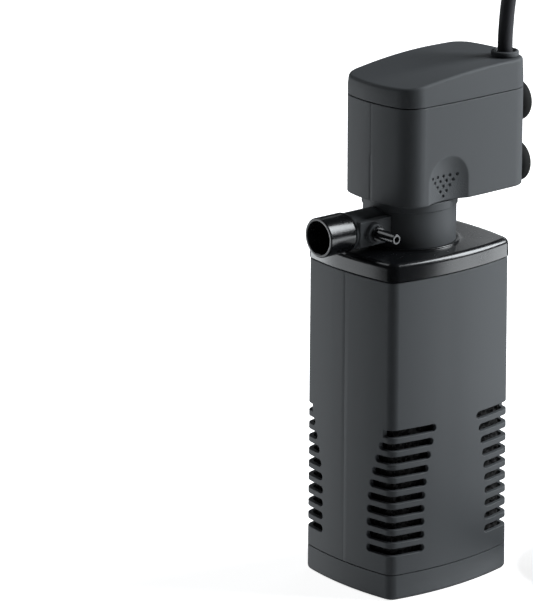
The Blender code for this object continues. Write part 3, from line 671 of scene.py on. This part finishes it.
def add_surroundings(brightness):
    """White to the camera, dim in reflections."""
    world = bpy.data.worlds.new("surroundings")
    world.use_nodes = True
    nodes, links = world.node_tree.nodes, world.node_tree.links
    dim, white = nodes["Background"], nodes.new("ShaderNodeBackground")
    dim.inputs["Color"].default_value = (0.92, 0.96, 1.0, 1.0)
    dim.inputs["Strength"].default_value = brightness
    white.inputs["Strength"].default_value = 1.0
    white.inputs["Color"].default_value = (1.0, 1.0, 1.0, 1.0)
    path, mix = nodes.new("ShaderNodeLightPath"), nodes.new("ShaderNodeMixShader")
    links.new(path.outputs["Is Camera Ray"], mix.inputs[0])
    links.new(dim.outputs[0], mix.inputs[1])
    links.new(white.outputs[0], mix.inputs[2])
    links.new(mix.outputs[0], nodes["World Output"].inputs["Surface"])
    bpy.context.scene.world = world


# ---- cord ----------------------------------------------------------------------------
def smooth_route(route, steps=10):
    """Points on a curve that passes smoothly through the route."""
    spots = [Vector(point) for point in route]
    ends = [spots[0] * 2 - spots[1], *spots, spots[-1] * 2 - spots[-2]]
    fine = []
    for a, b, c, d in zip(ends, ends[1:], ends[2:], ends[3:]):
        for i in range(steps):
            t = i / steps
            fine.append(((b * 2) + (c - a) * t + (a * 2 - b * 5 + c * 4 - d) * t**2
                         + (b * 3 - a - c * 3 + d) * t**3) / 2)
    return fine + [spots[-1]]


def eased(value, start, end, low, high):
    """low before start, high after end, and a smooth change between them."""
    t = min(max((value - start) / (end - start), 0.0), 1.0)
    return low + (high - low) * t * t * (3 - 2 * t)


COIL_START, COIL_TURNS, COIL_RUN_ON = 109.0, 5, 18.0
INNER, MIDDLE, OUTER = 0.0270, 0.0330, 0.0390
LOW_Z, HIGH_Z, LANDING_Z = 0.0039, 0.0099, 0.0166


def coil_route():
    """The spare cord: in over the top, down the inside and out along the floor."""
    points, whole = [], COIL_START + 360 * COIL_TURNS + COIL_RUN_ON
    shifts = [  # where each change starts and ends, counted in degrees from the coil's start
        (COIL_START + 210, COIL_START + 320, OUTER, MIDDLE),
        (COIL_START + 570, COIL_START + 680, MIDDLE, INNER),
        (COIL_START + 1080, COIL_START + 1190, INNER, MIDDLE),
        (COIL_START + 1440, COIL_START + 1550, MIDDLE, OUTER),
    ]
    steps = round(whole / 6)
    for i in range(steps + 1):
        wound = whole * i / steps
        radius = OUTER
        for start, end, low, high in shifts:
            if wound >= start:
                radius = eased(wound, start, end, low, high)
        height = eased(wound, 0, COIL_START, LANDING_Z, HIGH_Z)
        down = COIL_START + 720 + 110
        if wound >= down:
            height = eased(wound, down, down + 100, HIGH_Z, LOW_Z)
        turn = math.radians(COIL_START - wound)
        points.append(Vector((COIL_CENTRE[0] + radius * math.cos(turn),
                              COIL_CENTRE[1] + radius * math.sin(turn), height)))
    return points


def cord_points():
    coil = coil_route()
    down = smooth_route([*CORD_ROUTE, tuple(coil[0]), tuple(coil[2])])
    cut = next(i for i, point in enumerate(down) if (point - coil[0]).length < 1e-6)
    return down[:cut] + coil + way_out(coil[-1])


def way_out(start, back_r=0.0300, straight=0.0160):
    """From the coil's end straight on, then round to the plug."""
    lean = math.radians(COIL_RUN_ON)
    heading = Vector((-math.sin(lean), -math.cos(lean), 0.0))
    points = [start + heading * straight * i / 4 for i in range(1, 5)]
    centre = points[-1] + Vector((-heading.y, heading.x, 0.0)) * back_r
    spoke = points[-1] - centre
    for i in range(1, 5):
        points.append(centre + Matrix.Rotation(lean * i / 4, 3, "Z") @ spoke)
    points.append(Vector(TAIL_END))
    first, last = start.y, points[-1].y
    for point in points:
        point.z = eased(point.y, first, last, LOW_Z, TAIL_END[2])
    return points


def build_cord():
    """Mains cord with its coil, tie and plug"""
    points = cord_points()
    curve = bpy.data.curves.new("mains_cord", "CURVE")
    curve.dimensions = "3D"
    curve.bevel_depth = CORD_R
    curve.bevel_resolution = 5
    curve.use_fill_caps = True
    spline = curve.splines.new("POLY")
    spline.points.add(len(points) - 1)
    for knot, point in zip(spline.points, points, strict=True):
        knot.co = (*point, 1.0)
    curve.materials.append(material("cord_pvc"))
    cord = placed("mains_cord", curve)
    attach(cord, "head")
    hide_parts("power_cord", "cord_coil", "cord_tail")
    tie = make_tie()
    plug = make_plug()
    pins = [make_pin(i + 1, side) for i, side in enumerate((-1, 1))]
    run = sum((q - p).length for p, q in zip(points, points[1:]))


def make_tie():
    """Flat strap round one side of the coil."""
    x, y, half = COIL_CENTRE[0], COIL_CENTRE[1] - COIL_MID_R, TIE_WIDTH / 2
    wide, top, thick = COIL_HALF_WIDTH + 0.0006, COIL_FOOT_Z + COIL_HEIGHT + 0.0006, 0.0008
    bm = bar((x - half, y - wide - thick, 0.0001), (x + half, y + wide + thick, top + thick))
    soften(bm, 0.0024, lambda middle: abs(middle.x - x) < 1e-4, 40.0, 5)
    hole = bar((x - half - 0.001, y - wide, 0.0007), (x + half + 0.001, y + wide, top))
    soften(hole, 0.0017, lambda middle: abs(middle.x - x) < 1e-4, 40.0, 5)
    bm = carved(bm, ("cut", hole))
    soften(bm, 0.00015, lambda middle: True, 60.0, 2)
    return piece("cord_strap", bm, "rubber", "head", ["cord_tie"])


def make_plug():
    """Moulded two-pin plug with grip ribs and a tapered strain relief."""
    back, front, z = PLUG_BACK_Y, PLUG_BACK_Y - PLUG_LENGTH, PLUG_HEIGHT / 2
    relief = [  # (distance behind the body's back, half width, half height)
        (0.0100, 0.0042, 0.0042), (0.0078, 0.0044, 0.0043), (0.0076, 0.0038, 0.0038),
        (0.0066, 0.0038, 0.0038), (0.0064, 0.0046, 0.0045), (0.0044, 0.0048, 0.0046),
        (0.0042, 0.0041, 0.0040), (0.0032, 0.0041, 0.0040), (0.0030, 0.0050, 0.0048),
        (0.0010, 0.0054, 0.0050), (-0.0006, 0.0072, 0.0055), (-0.0024, 0.0086, 0.0058),
        (-0.0050, 0.0099, z - 0.0001), (-0.0080, 0.0109, z), (-0.0110, PLUG_HALF_WIDTH, z)]
    spans = [(back + behind, wide, high) for behind, wide, high in relief]
    for rib in range(RIBS):
        start = back - RIB_FIRST - RIB_PITCH * rib
        spans += [(start, PLUG_HALF_WIDTH, z), (start - 0.0003, PLUG_HALF_WIDTH - RIB_DEEP, z),
                  (start - 0.0012, PLUG_HALF_WIDTH - RIB_DEEP, z),
                  (start - 0.0015, PLUG_HALF_WIDTH, z)]
    spans += [(front + 0.0008, PLUG_HALF_WIDTH, z),
              (front + 0.0002, PLUG_HALF_WIDTH - 0.0005, z - 0.0005),
              (front, PLUG_HALF_WIDTH - 0.0010, z - 0.0010)]
    rings = []
    for y, wide, high in spans:
        corner = min(0.0050, 0.93 * min(wide, high))
        outline = drawn_outline((wide, high), (0.0001, 0.0001), corner - 0.0002, 0.0, 3, 6)
        rings.append([Vector((PLUG_X + point.x, y, z + point.y)) for point, _ in outline])
    holes = [("cut", bar(*pin_corners(side, GAP, 0.0062))) for side in (-1, 1)]
    return piece("mains_plug", carved(grown(rings), *holes), "rubber", "head", ["plug_body"])


def pin_corners(side, room=0.0, root=0.0055):
    """Two corners of a flat pin, grown by some room."""
    front, x, z = PLUG_BACK_Y - PLUG_LENGTH, PLUG_X + side * BLADE_X, PLUG_HEIGHT / 2
    wide, high = BLADE_THICK / 2 + room, BLADE_HEIGHT / 2 + room
    return (x - wide, front - BLADE_LENGTH, z - high), (x + wide, front + root, z + high)


def make_pin(number, side):
    bm = bar(*pin_corners(side))
    tip = PLUG_BACK_Y - PLUG_LENGTH - BLADE_LENGTH
    soften(bm, 0.0006, lambda middle: abs(middle.y - tip) < 1e-4, 40.0, 2)
    soften(bm, 0.0001, lambda middle: middle.y > tip + 0.001, 60.0, 2)
    return piece(f"mains_pin_{number}", bm, "brass", "head", [f"plug_pin_{number}"])


# ---- canister ------------------------------------------------------------------------
def build_base():
    """Bottom cap"""
    edge = sizes().seam_round
    rim, plug, inner = BASE_SEAM_Z - GAP / 2, WALL + GAP, WALL + GAP + 0.0015
    rings = body_rings(
        body_outline(line=PARTING_HALF_WIDTH), (0.0040, 0.0), (0.0, 0.0, 0.0019),
        (0.0, rim, 0.5 * edge), (plug, rim), (plug, BASE_PLUG_TOP_Z, CRISP),
        (inner, BASE_PLUG_TOP_Z, CRISP),
        (inner, BASE_FLOOR_Z, 0.0006), (inner + 0.0006, BASE_FLOOR_Z))
    piece("bottom_cap", drafted(grown(rings)), "shell_plastic", "base", ["canister_base"])


def web_half_width(row, web):
    rise = max(row - WEB_FLAT_SLOTS + 1, 0) / (SLOTS - WEB_FLAT_SLOTS)
    return web[1] + (web[0] - web[1]) * rise**1.6


def slot_tool(across_x):
    """Every slot's part on two opposite sides, as round-ended bars."""
    whole = bmesh.new()
    web, reach, deep, out = ((WEB_X, BODY_HALF[1] + 0.004, 0.0215, BODY_HALF[0] + 0.004)
                             if across_x else
                             (WEB_Y, BODY_HALF[0] + 0.004, 0.0265, BODY_HALF[1] + 0.004))
    for row in range(SLOTS):
        z, near = SLOT_LOWEST_Z + SLOT_PITCH * row, web_half_width(row, web)
        one = bar((deep, near, z - SLOT_HEIGHT / 2), (out, reach, z + SLOT_HEIGHT / 2))
        ends = [edge for edge in one.edges
                if all(abs(vert.co.y - near) < 1e-6 for vert in edge.verts)
                and abs(edge.verts[0].co.z - edge.verts[1].co.z) < 1e-6]
        bevel(one, ends, SLOT_HEIGHT / 2 - 1e-5, 9)
        if not across_x:
            bmesh.ops.transform(one, verts=one.verts[:], matrix=Matrix(
                ((0, 1, 0, 0), (1, 0, 0, 0), (0, 0, 1, 0), (0, 0, 0, 1))))
        for flip_x in (1, -1):
            for flip_y in (1, -1):
                copy = bpy.data.meshes.new("slot")
                one.to_mesh(copy)
                copy.transform(Matrix.Diagonal((flip_x, flip_y, 1, 1)))
                whole.from_mesh(copy)
                bpy.data.meshes.remove(copy)
        one.free()
    bmesh.ops.recalc_face_normals(whole, faces=whole.faces[:])
    return whole


def build_canister():
    """Slotted canister"""
    low, high, edge = BASE_SEAM_Z + GAP / 2, LID_SEAM_Z - GAP / 2, sizes().seam_round
    outline = body_outline(line=PARTING_HALF_WIDTH)
    shape = profile((WALL, high), (WALL, low), (0.0, low, 0.5 * edge),
                    (0.0, high, 1.6 * edge), (WALL, high))
    bm = grown([level(outline, inset, height) for inset, height in shape], tube=True)
    front, below = WALL - BODY_HALF[1], high - edge / 2
    for vert in bm.verts:
        if abs(vert.co.x) < 1e-5 and vert.co.y < front and vert.co.z < below:
            vert.co.y += sizes().parting_depth
    bm = carved(drafted(bm), ("cut", slot_tool(True)), ("cut", slot_tool(False)))
    bottom, top = SLOT_LOWEST_Z - SLOT_HEIGHT, SLOT_LOWEST_Z + SLOT_PITCH * SLOTS
    soften(bm, sizes().slot_round, lambda middle: bottom < middle.z < top)
    piece("canister_shell", bm, "shell_plastic", "canister", ["canister_body"])


def build_lid():
    """Lid with its collar round the neck"""
    outline, edge = body_outline(), sizes().seam_round
    rim, top, plug = LID_SEAM_Z + GAP / 2, LID_TOP_Z, WALL + GAP
    inner, bore = plug + 0.0014, SPIGOT_R + GAP
    outer = profile((inner, top - 0.002), (inner, LID_PLUG_LOW_Z, CRISP),
                    (plug, LID_PLUG_LOW_Z, CRISP),
                    (plug, rim), (-LID_PROUD, rim, 0.8 * edge),
                    (-LID_PROUD + 0.0003, top, LID_ROUND), (0.0030, top))
    rings = [level(outline, inset, height) for inset, height in outer]
    collar = profile((COLLAR_R[1] + 0.0014, top), (COLLAR_R[1], top, CRISP),
                     (COLLAR_R[1], COLLAR_TOP_Z, 0.00035), (COLLAR_R[0], COLLAR_TOP_Z, CRISP),
                     (COLLAR_R[0], top), (bore, top, CRISP), (bore, LID_BORE_LOW_Z, CRISP),
                     (bore + 0.002, LID_BORE_LOW_Z, CRISP), (bore + 0.002, top - 0.002))
    rings += [hoop(outline, radius, height) for radius, height in collar]
    rings.append(rings[0])
    piece("lid_shell", drafted(grown(rings, tube=True)), "lid_plastic", "lid",
          ["canister_lid"])


def build_sponge():
    """Foam sponge and the core tube inside it"""
    inset, (low, high) = WALL + 0.0010, FOAM_Z
    outline = body_outline(50, 13)
    rows, roll_in = round((high - low) / 0.00056), (0.0003, 0.0012, 0.0030, 0.0060, 0.0100)
    rings = [hoop(outline, FOAM_BORE_R, low)]
    rings += [level(outline, inset + back, low) for back in reversed(roll_in)]
    rings += [level(outline, inset, low + (high - low) * row / rows) for row in range(1, rows)]
    rings += [level(outline, inset + back, high) for back in roll_in]
    rings.append(hoop(outline, FOAM_BORE_R, high))
    bm = drafted(grown(rings + [rings[0]], tube=True))
    bm.normal_update()
    cell, pit = sizes().foam_cell, sizes().foam_pit
    moved = []
    for vert in bm.verts:
        if vert.co.xy.length > 0.0100:
            near, _ = noise.voronoi(vert.co / cell)
            hollow = min(max((near[1] - near[0]) / 0.42, 0.0), 1.0)
            moved.append((vert, vert.co - vert.normal * pit * hollow**0.8))
    for vert, place in moved:
        vert.co = place
    sponge = piece("foam_sponge", bm, "foam", "lid", ["filter_sponge"], sharp=60.0,
                   weighted=False)

    (bore, outer), (low, flange, high) = CORE_R, CORE_Z
    tube = turned(profile((bore, low), (outer, low, 0.0004), (outer, flange),
                          (SPIGOT_R, flange, CRISP), (SPIGOT_R, high, CRISP), (bore, high)),
                  72, ring=True)
    windows = []
    for row in range(6):
        z = 0.0260 + 0.0160 * row
        for x, y in ((0.012, 0.0028), (0.0028, 0.012)):
            windows.append(("cut", bar((-x, -y, z), (x, y, z + 0.0080))))
    piece("sponge_tube", carved(tube, *windows), "inner_plastic", "lid", ["core_tube"])


# ---- swivel neck ---------------------------------------------------------------------
def build_neck():
    """Swivel neck with its outlet root and air inlet boss"""
    groove, foot, head = 0.0011, LID_TOP_Z + GAP, HEAD_BOTTOM_Z - GAP
    low, high = GROOVE_Z
    neck = turned(profile(
        (SPIGOT_R, SPIGOT_Z, CRISP), (SPIGOT_R, low), (SPIGOT_R - groove, low),
        (SPIGOT_R - groove, high), (SPIGOT_R, high), (SPIGOT_R, foot),
        (NECK_R, foot, 0.0004), (NECK_R, FLANGE_Z - 0.0002), (FLANGE_R, FLANGE_Z, 0.0002),
        (FLANGE_R, head, CRISP), (CHAMBER_R, head, CRISP), (CHAMBER_R, CHAMBER_Z),
        (INLET_R, CHAMBER_Z), (INLET_R, SPIGOT_Z), (SPIGOT_R - 0.0006, SPIGOT_Z)),
        128, ring=True)
    axis, air = (0, 0, OUTLET_Z), (0, AIR_Y, OUTLET_Z)
    root = turned(profile((0, 0.0166), (OUTLET_ROOT_R, 0.0166),
                          (OUTLET_ROOT_R, -OUTLET_SEAM_Y, CRISP), (0, -OUTLET_SEAM_Y)),
                  96, axis, TO_FRONT)
    pad = bar((-0.0013, -0.0332, 0.1432), (0.0080, -0.0166, 0.1538))
    soften(pad, 0.0005, lambda middle: middle.x > 0.005 or middle.z > 0.153, 40.0)
    boss = turned(profile((0, 0.0050), (AIR_BOSS_R, 0.0050), (AIR_BOSS_R, AIR_BOSS_X, 0.0004),
                          (0, AIR_BOSS_X)), 64, air, TO_RIGHT)
    air_bore = turned(profile((0, 0.0040), (AIR_TUBE_R + GAP, 0.0040),
                              (AIR_TUBE_R + GAP, 0.0120), (0, 0.0120)), 48, air, TO_RIGHT)
    bore = turned(profile((0, 0.0120), (OUTLET_BORE_R, 0.0120), (OUTLET_BORE_R, 0.0400),
                          (0, 0.0400)), 96, axis, TO_FRONT)
    bm = carved(neck, ("weld", root), ("weld", pad), ("weld", boss), ("cut", air_bore),
                ("cut", bore))
    piece("neck_body", bm, "shell_plastic", "neck", ["pump_neck"])

    low, high = SEAL_MID_Z - SEAL_HALF, SEAL_MID_Z + SEAL_HALF
    inner, outer = SPIGOT_R - 0.00068, SPIGOT_R + 0.00024
    seal = turned(profile((inner, low, 0.0004), (outer, low, 0.0004), (outer, high, 0.0004),
                          (inner, high, 0.0004)), 96, ring=True)
    piece("neck_ring", seal, "rubber", "neck", ["neck_seal"])

    hub, rim, low = 0.0035, CHAMBER_R - GAP, CHAMBER_Z + GAP
    plate = turned(profile((hub, low), (rim, low, 0.0002), (rim, CHAMBER_Z + 0.0016, 0.0002),
                           (hub, CHAMBER_Z + 0.0016)), 96, ring=True)
    holes = []
    for i in range(6):
        turn = math.tau * i / 6
        holes.append(("cut", turned(profile((0, 0.14), (0.0022, 0.14), (0.0022, 0.15),
                                            (0, 0.15)), 32,
                                    (0.0066 * math.cos(turn), 0.0066 * math.sin(turn), 0))))
    piece("inlet_disc", carved(plate, *holes), "inner_plastic", "neck",
          ["impeller_inlet_plate"])

    tube = turned(profile(
        (0.0010, 0.0068), (AIR_TUBE_R, 0.0068), (AIR_TUBE_R, AIR_BOSS_X + GAP),
        (0.0031, AIR_BOSS_X + GAP, 0.0002), (0.0031, AIR_BOSS_X + 0.0011, 0.0002),
        (AIR_TUBE_R, AIR_BOSS_X + 0.0011), (AIR_TUBE_R, AIR_TUBE_X, CRISP),
        (0.0010, AIR_TUBE_X, 0.0002), (0.0010, 0.0072)), 64, air, TO_RIGHT, ring=True)
    piece("air_tube", tube, "lid_plastic", "neck", ["air_inlet_tube"])
    bush("lower_rubber", BUSH_Z[0], BUSH_DEEP, "neck", "lower_bush")
    bush("upper_rubber", BUSH_Z[1], -BUSH_DEEP, "head", "upper_bush")


def bush(name, start, reach, body, node):
    """Rubber cup that holds one end of the shaft."""
    bore, outer, floor = SHAFT_R + GAP, 0.0032, math.copysign(0.0010, reach)
    bm = turned(profile((0, start), (outer, start, CRISP), (outer, start + reach, CRISP),
                        (bore, start + reach, 0.0002), (bore, start + floor),
                        (0, start + floor)), 48)
    piece(name, bm, "rubber", body, [node])


def build_nozzle():
    """Pull-off outlet nozzle"""
    plug, wall, long = OUTLET_BORE_R - GAP, 0.0013, NOZZLE_LENGTH
    inner = NOZZLE_R - wall - 0.0003
    bm = turned(profile(
        (plug - wall, -NOZZLE_PLUG), (plug, -NOZZLE_PLUG, CRISP), (plug, GAP),
        (OUTLET_ROOT_R, GAP, 0.0002), (NOZZLE_R, 0.0010, CRISP), (NOZZLE_R, long, 0.0004),
        (NOZZLE_R - wall, long, CRISP), (inner, long - 0.0008, CRISP), (inner, 0.0030),
        (plug - wall, 0.0008)), 128, (0, OUTLET_SEAM_Y, OUTLET_Z), TO_FRONT, ring=True)
    piece("nozzle_tube", bm, "lid_plastic", "nozzle", ["outlet_nozzle"])


# ---- pump head -----------------------------------------------------------------------
SCOOP_BIG_R = (SCOOP_HALF_WIDTH**2 + SCOOP_DEPTH**2) / (2 * SCOOP_DEPTH)
SCOOP_ARCH_Z = SCOOP_TOP_Z - SCOOP_HALF_WIDTH
DIMPLE_ROWS, DIMPLE_Y, DIMPLE_TOP_Z = 5, 0.0006, 0.1692
DIMPLE_PITCH, DIMPLE_ROW_PITCH = 0.0033, 0.00205


def dimple_centres():
    """Five rows of grip dimples in a triangle that points down, as (y, z)."""
    return [(DIMPLE_Y + DIMPLE_PITCH * (i - (DIMPLE_ROWS - row - 1) / 2),
             DIMPLE_TOP_Z - DIMPLE_ROW_PITCH * row)
            for row in range(DIMPLE_ROWS) for i in range(DIMPLE_ROWS - row)]


def scoop_depth(y, z, softness=0.00008):
    """Depth of the arch-topped finger scoop at a point of the housing's +X side."""
    across, above = y - SCOOP_Y, max(z - SCOOP_ARCH_Z, 0.0)
    out = min(math.hypot(across, above), 0.95 * SCOOP_BIG_R)
    deep = math.sqrt(SCOOP_BIG_R**2 - out**2) - (SCOOP_BIG_R - SCOOP_DEPTH)
    deep = (deep + math.hypot(deep, 2 * softness)) / 2
    return deep * (1 - eased(out, SCOOP_HALF_WIDTH, SCOOP_HALF_WIDTH + 0.002, 0.0, 1.0))


def build_housing():
    """Motor housing with its rotor well, finger scoop and grip dimples"""
    outline = drawn_outline(HEAD_HALF, HEAD_BOW, HEAD_CORNER, HEAD_CENTRE_Y, 10, 9, 150,
                            PARTING_HALF_WIDTH)
    floor, rim, edge = HEAD_BOTTOM_Z + 0.0021, CAP_SEAM_Z - GAP / 2, sizes().seam_round
    rings = [hoop(outline, radius, height) for radius, height in profile(
        (0.0050, WELL_TOP_Z + 0.0015), (0.0050, WELL_SHOULDER_Z),
        (WELL_OUTER_R, WELL_SHOULDER_Z),
        (WELL_OUTER_R, floor))]
    rings += [level(outline, HEAD_WALL, height) for height in (floor, 0.165, 0.172, 0.180, rim)]
    outer = [level(outline, inset, height) for inset, height in profile(
        (HEAD_WALL, rim), (0.0, rim, edge), (0.0, DENSE_TOP_Z))][1:]
    dense = [level(outline, 0.0, DENSE_TOP_Z - DENSE_PITCH * row)
             for row in range(1, DENSE_ROWS + 1)]
    low = [level(outline, inset, height) for inset, height in profile(
        (0.0, 0.1597), (0.0, HEAD_BOTTOM_Z, 0.0006), (0.0016, HEAD_BOTTOM_Z))]
    outer_rings = outer + dense + low
    for ring in outer_rings:
        shape_side(ring)
    for ring in rings[4:]:
        shape_side(ring, plain=True)
    rings += outer_rings
    plug, step = CHAMBER_R - GAP, FLANGE_Z + 0.0004
    rings += [hoop(outline, radius, height) for radius, height in profile(
        (plug, HEAD_BOTTOM_Z), (plug, step, CRISP), (WELL_R, step, CRISP),
        (WELL_R, WELL_ROOF_Z), (0.0035, WELL_ROOF_Z), (0.0035, WELL_TOP_Z))]
    bm = grown(rings)
    hole = profile((0, HEAD_BACK_Y - 0.0040), (0.0024, HEAD_BACK_Y - 0.0040),
                   (0.0024, HEAD_BACK_Y + 0.0010), (0, HEAD_BACK_Y + 0.0010))
    holes = [("cut", turned(hole, 48, (0, 0, z), TO_BACK)) for z in CUP_Z]
    piece("head_housing", carved(bm, *holes), "shell_plastic", "head", ["motor_housing"])


def shape_side(ring, plain=False):
    """Press the scoop and its dimples into a ring, and the parting line into its front."""
    radius, deep = sizes().dimple_r, sizes().dimple_depth
    for place in ring:
        if place.x > 0.0165 and abs(place.y - SCOOP_Y) < SCOOP_HALF_WIDTH + 0.002:
            scoop = scoop_depth(place.y, place.z)
            if not plain:
                for y, z in dimple_centres():
                    out = math.hypot(place.y - y, place.z - z) / radius
                    if out < 1.0:
                        scoop += deep * math.sqrt(1 - out * out)
                low = eased(place.z, 0.1640, 0.1710, 1.0, 0.0) * min(scoop / 0.0004, 1.0)
                scoop += 0.00005 * low * noise.noise(place / 0.00042)
            place.x -= scoop
        if not plain and abs(place.x) < 1e-5 and place.y < 0:
            place.y += sizes().parting_depth


def roof(place):
    """Height of the cap's roof above a point."""
    y = min(place.y, CAP_LEVEL_Y)
    front = HEAD_CENTRE_Y - HEAD_HALF[1]
    rise = math.sin(math.pi / 2 * (y - front) / (CAP_LEVEL_Y - front))
    return CAP_FRONT_Z + (CAP_TOP_Z - CAP_FRONT_Z) * rise


def build_cap():
    """Motor cap with the cord's grommet"""
    outline = drawn_outline(HEAD_HALF, HEAD_BOW, HEAD_CORNER, HEAD_CENTRE_Y, 12, 12)
    low, edge, top = CAP_SEAM_Z + GAP / 2, sizes().seam_round, sizes().roof_round
    rings = [level(outline, inset, height) for inset, height in profile(
        (HEAD_WALL, 0.2040), (HEAD_WALL, low), (0.0, low, 0.6 * edge), (0.0, 0.2030))]
    steps = 8
    for i in range(steps + 1):
        turn = math.pi / 2 * i / steps
        drop, inset = top * (1 - math.sin(turn)), CAP_DRAFT + top * (1 - math.cos(turn))
        rings.append(level(outline, inset, lambda place, drop=drop: roof(place) - drop))
    bm = grown(rings)
    strip_roof(bm, rings[-1])
    hole = turned(profile((0, 0.19), (0.0045, 0.19), (0.0045, 0.22), (0, 0.22)), 64,
                  (*CORD_EXIT, 0))
    piece("head_roof", carved(bm, ("cut", hole)), "shell_plastic", "head", ["head_cap"])

    stem, under, bore = 0.0042, 0.2020, CORD_R + 0.0001
    grommet = turned(profile(
        (bore, under), (stem, under, CRISP), (stem, CAP_TOP_Z + GAP),
        (GROMMET_R, CAP_TOP_Z + GAP, 0.0002), (GROMMET_R, GROMMET_TOP_Z, 0.0006),
        (0.0044, GROMMET_TOP_Z, 0.0004), (0.0040, GROMMET_TOP_Z - 0.0012, CRISP),
        (bore, GROMMET_TOP_Z - 0.0012)), 96, (*CORD_EXIT, 0), ring=True)
    piece("cord_collar", grommet, "shell_plastic", "head", ["cord_grommet"])


def strip_roof(bm, ring):
    """Split the roof face into strips across it, so that it follows the roof's curve."""
    station = bm.verts.layers.int["station"]
    face = max(bm.faces, key=lambda f: (len(f.verts), f.calc_center_median().z))
    verts = {vert[station]: vert for vert in face.verts}
    for i, place in enumerate(ring):
        if place.x > 1e-4:
            partner = min(range(len(ring)), key=lambda j: abs(ring[j].y - place.y)
                          + abs(ring[j].x + place.x))
            bmesh.ops.connect_verts(bm, verts=[verts[i], verts[partner]])


def build_cups():
    """Suction cups"""
    wall_y = HEAD_BACK_Y + GAP
    deep, stem = CUP_RIM_Y - wall_y, 0.0021
    shape = profile(
        (0, -0.0035), (stem, -0.0035, 0.0004), (stem, 0.0), (0.0038, 0.0, CRISP),
        (0.0038, 0.0012, 0.0004), (0.0026, 0.0022, 0.0006), (0.0030, 0.0036, 0.0008),
        (0.0056, 0.0050, 0.0016), (0.0078, deep - 0.0034, 0.0014),
        (CUP_R, deep - 0.0006, CRISP), (CUP_R - 0.0005, deep, 0.0002),
        (0.0066, deep - 0.0026, 0.0012), (0.0040, deep - 0.0040, 0.0012),
        (0, deep - 0.0046))
    for i, z in enumerate(CUP_Z):
        piece(f"glass_cup_{i + 1}", turned(shape, 96, (0, wall_y, z), TO_BACK), "rubber",
              "head", [f"suction_cup_{i + 1}"])


def build_rotor():
    """Rotor magnet, impeller and shaft"""
    bore, hub, (low, high) = SHAFT_R + 0.0004, 0.0040, WHEEL_Z
    foot, top = MAGNET_Z
    magnet = turned(profile((bore, foot), (MAGNET_R, foot, 0.0004), (MAGNET_R, top, 0.0004),
                            (bore, top, CRISP)), 96, ring=True)
    piece("magnet_rotor", magnet, "magnet", "rotor", ["rotor_magnet"])
    wheel = turned(profile((bore, low), (hub, low, CRISP), (hub, high, CRISP),
                           (bore, high)), 72, ring=True)
    blades = []
    for i in range(BLADES):
        blade = bar((hub - 0.0008, -0.0005, low + 0.0002), (IMPELLER_R, 0.0005, low + 0.0058))
        soften(blade, 0.0002, lambda middle: middle.x > hub, 40.0, 2)
        oriented(blade, (0, 0, 0), (360 * i / BLADES, "Z"))
        blades.append(("weld", blade))
    piece("impeller_wheel", carved(wheel, *blades), "impeller_plastic", "rotor", ["impeller"])
    foot, top = SHAFT_Z
    shaft = turned(profile((0, foot), (SHAFT_R, foot, CRISP), (SHAFT_R, top, CRISP),
                           (0, top)), 48)
    piece("ceramic_shaft", shaft, "ceramic", "head", ["pump_shaft"])


def build_motor():
    """Finishes of the motor parts sealed inside the head"""
    for node, finish in (("stator_core", "steel"), ("coil_bobbin_right", "bobbin_nylon"),
                         ("coil_bobbin_left", "bobbin_nylon"), ("coil_winding_right", "copper"),
                         ("coil_winding_left", "copper"), ("potting_resin", "resin")):
        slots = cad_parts[node].data.materials
        slots.clear()
        slots.append(material(finish))


# ---- panel and registration ----------------------------------------------------------
STEPS = (build_studio, build_cord, build_base, build_canister, build_lid, build_sponge,
         build_neck, build_nozzle, build_housing, build_cap, build_cups, build_rotor, build_motor)
BUILDERS = {step.__name__: step for step in STEPS}


class FILTER_OT_build(bpy.types.Operator):
    """Builds one group of the filter's pieces, or its studio"""

    bl_idname = "filter_build.step"
    bl_label = "Build"

    step: bpy.props.EnumProperty(name="Step", description="What is built", items=[
        (name, step.__doc__, "") for name, step in BUILDERS.items()])

    def execute(self, context):
        BUILDERS[self.step]()
        return {"FINISHED"}


class FILTER_PT_build(bpy.types.Panel):
    """Lists the filter's pieces"""

    bl_idname = "FILTER_PT_build"
    bl_label = "Power Filter"
    bl_space_type = "VIEW_3D"
    bl_region_type = "UI"
    bl_category = "Filter"

    def draw(self, context):
        for name, step in BUILDERS.items():
            self.layout.operator("filter_build.step", text=step.__doc__).step = name
        for group in (context.scene.filter_sizes, context.scene.filter_finishes,
                      context.scene.filter_studio):
            box = self.layout.box()
            for name in group.__annotations__:
                box.prop(group, name)


GROUPS = {"filter_sizes": FilterSizes, "filter_finishes": FilterFinishes,
          "filter_studio": FilterStudio}


def register():
    for made in (*GROUPS.values(), FILTER_OT_build, FILTER_PT_build):
        bpy.utils.register_class(made)
    for name, group in GROUPS.items():
        setattr(bpy.types.Scene, name, bpy.props.PointerProperty(type=group))


def unregister():
    for name in GROUPS:
        delattr(bpy.types.Scene, name)
    for made in reversed((*GROUPS.values(), FILTER_OT_build, FILTER_PT_build)):
        bpy.utils.unregister_class(made)


def main():
    register()
    for name in BUILDERS:
        bpy.ops.filter_build.step(step=name)


if __name__ == "__main__":
    main()
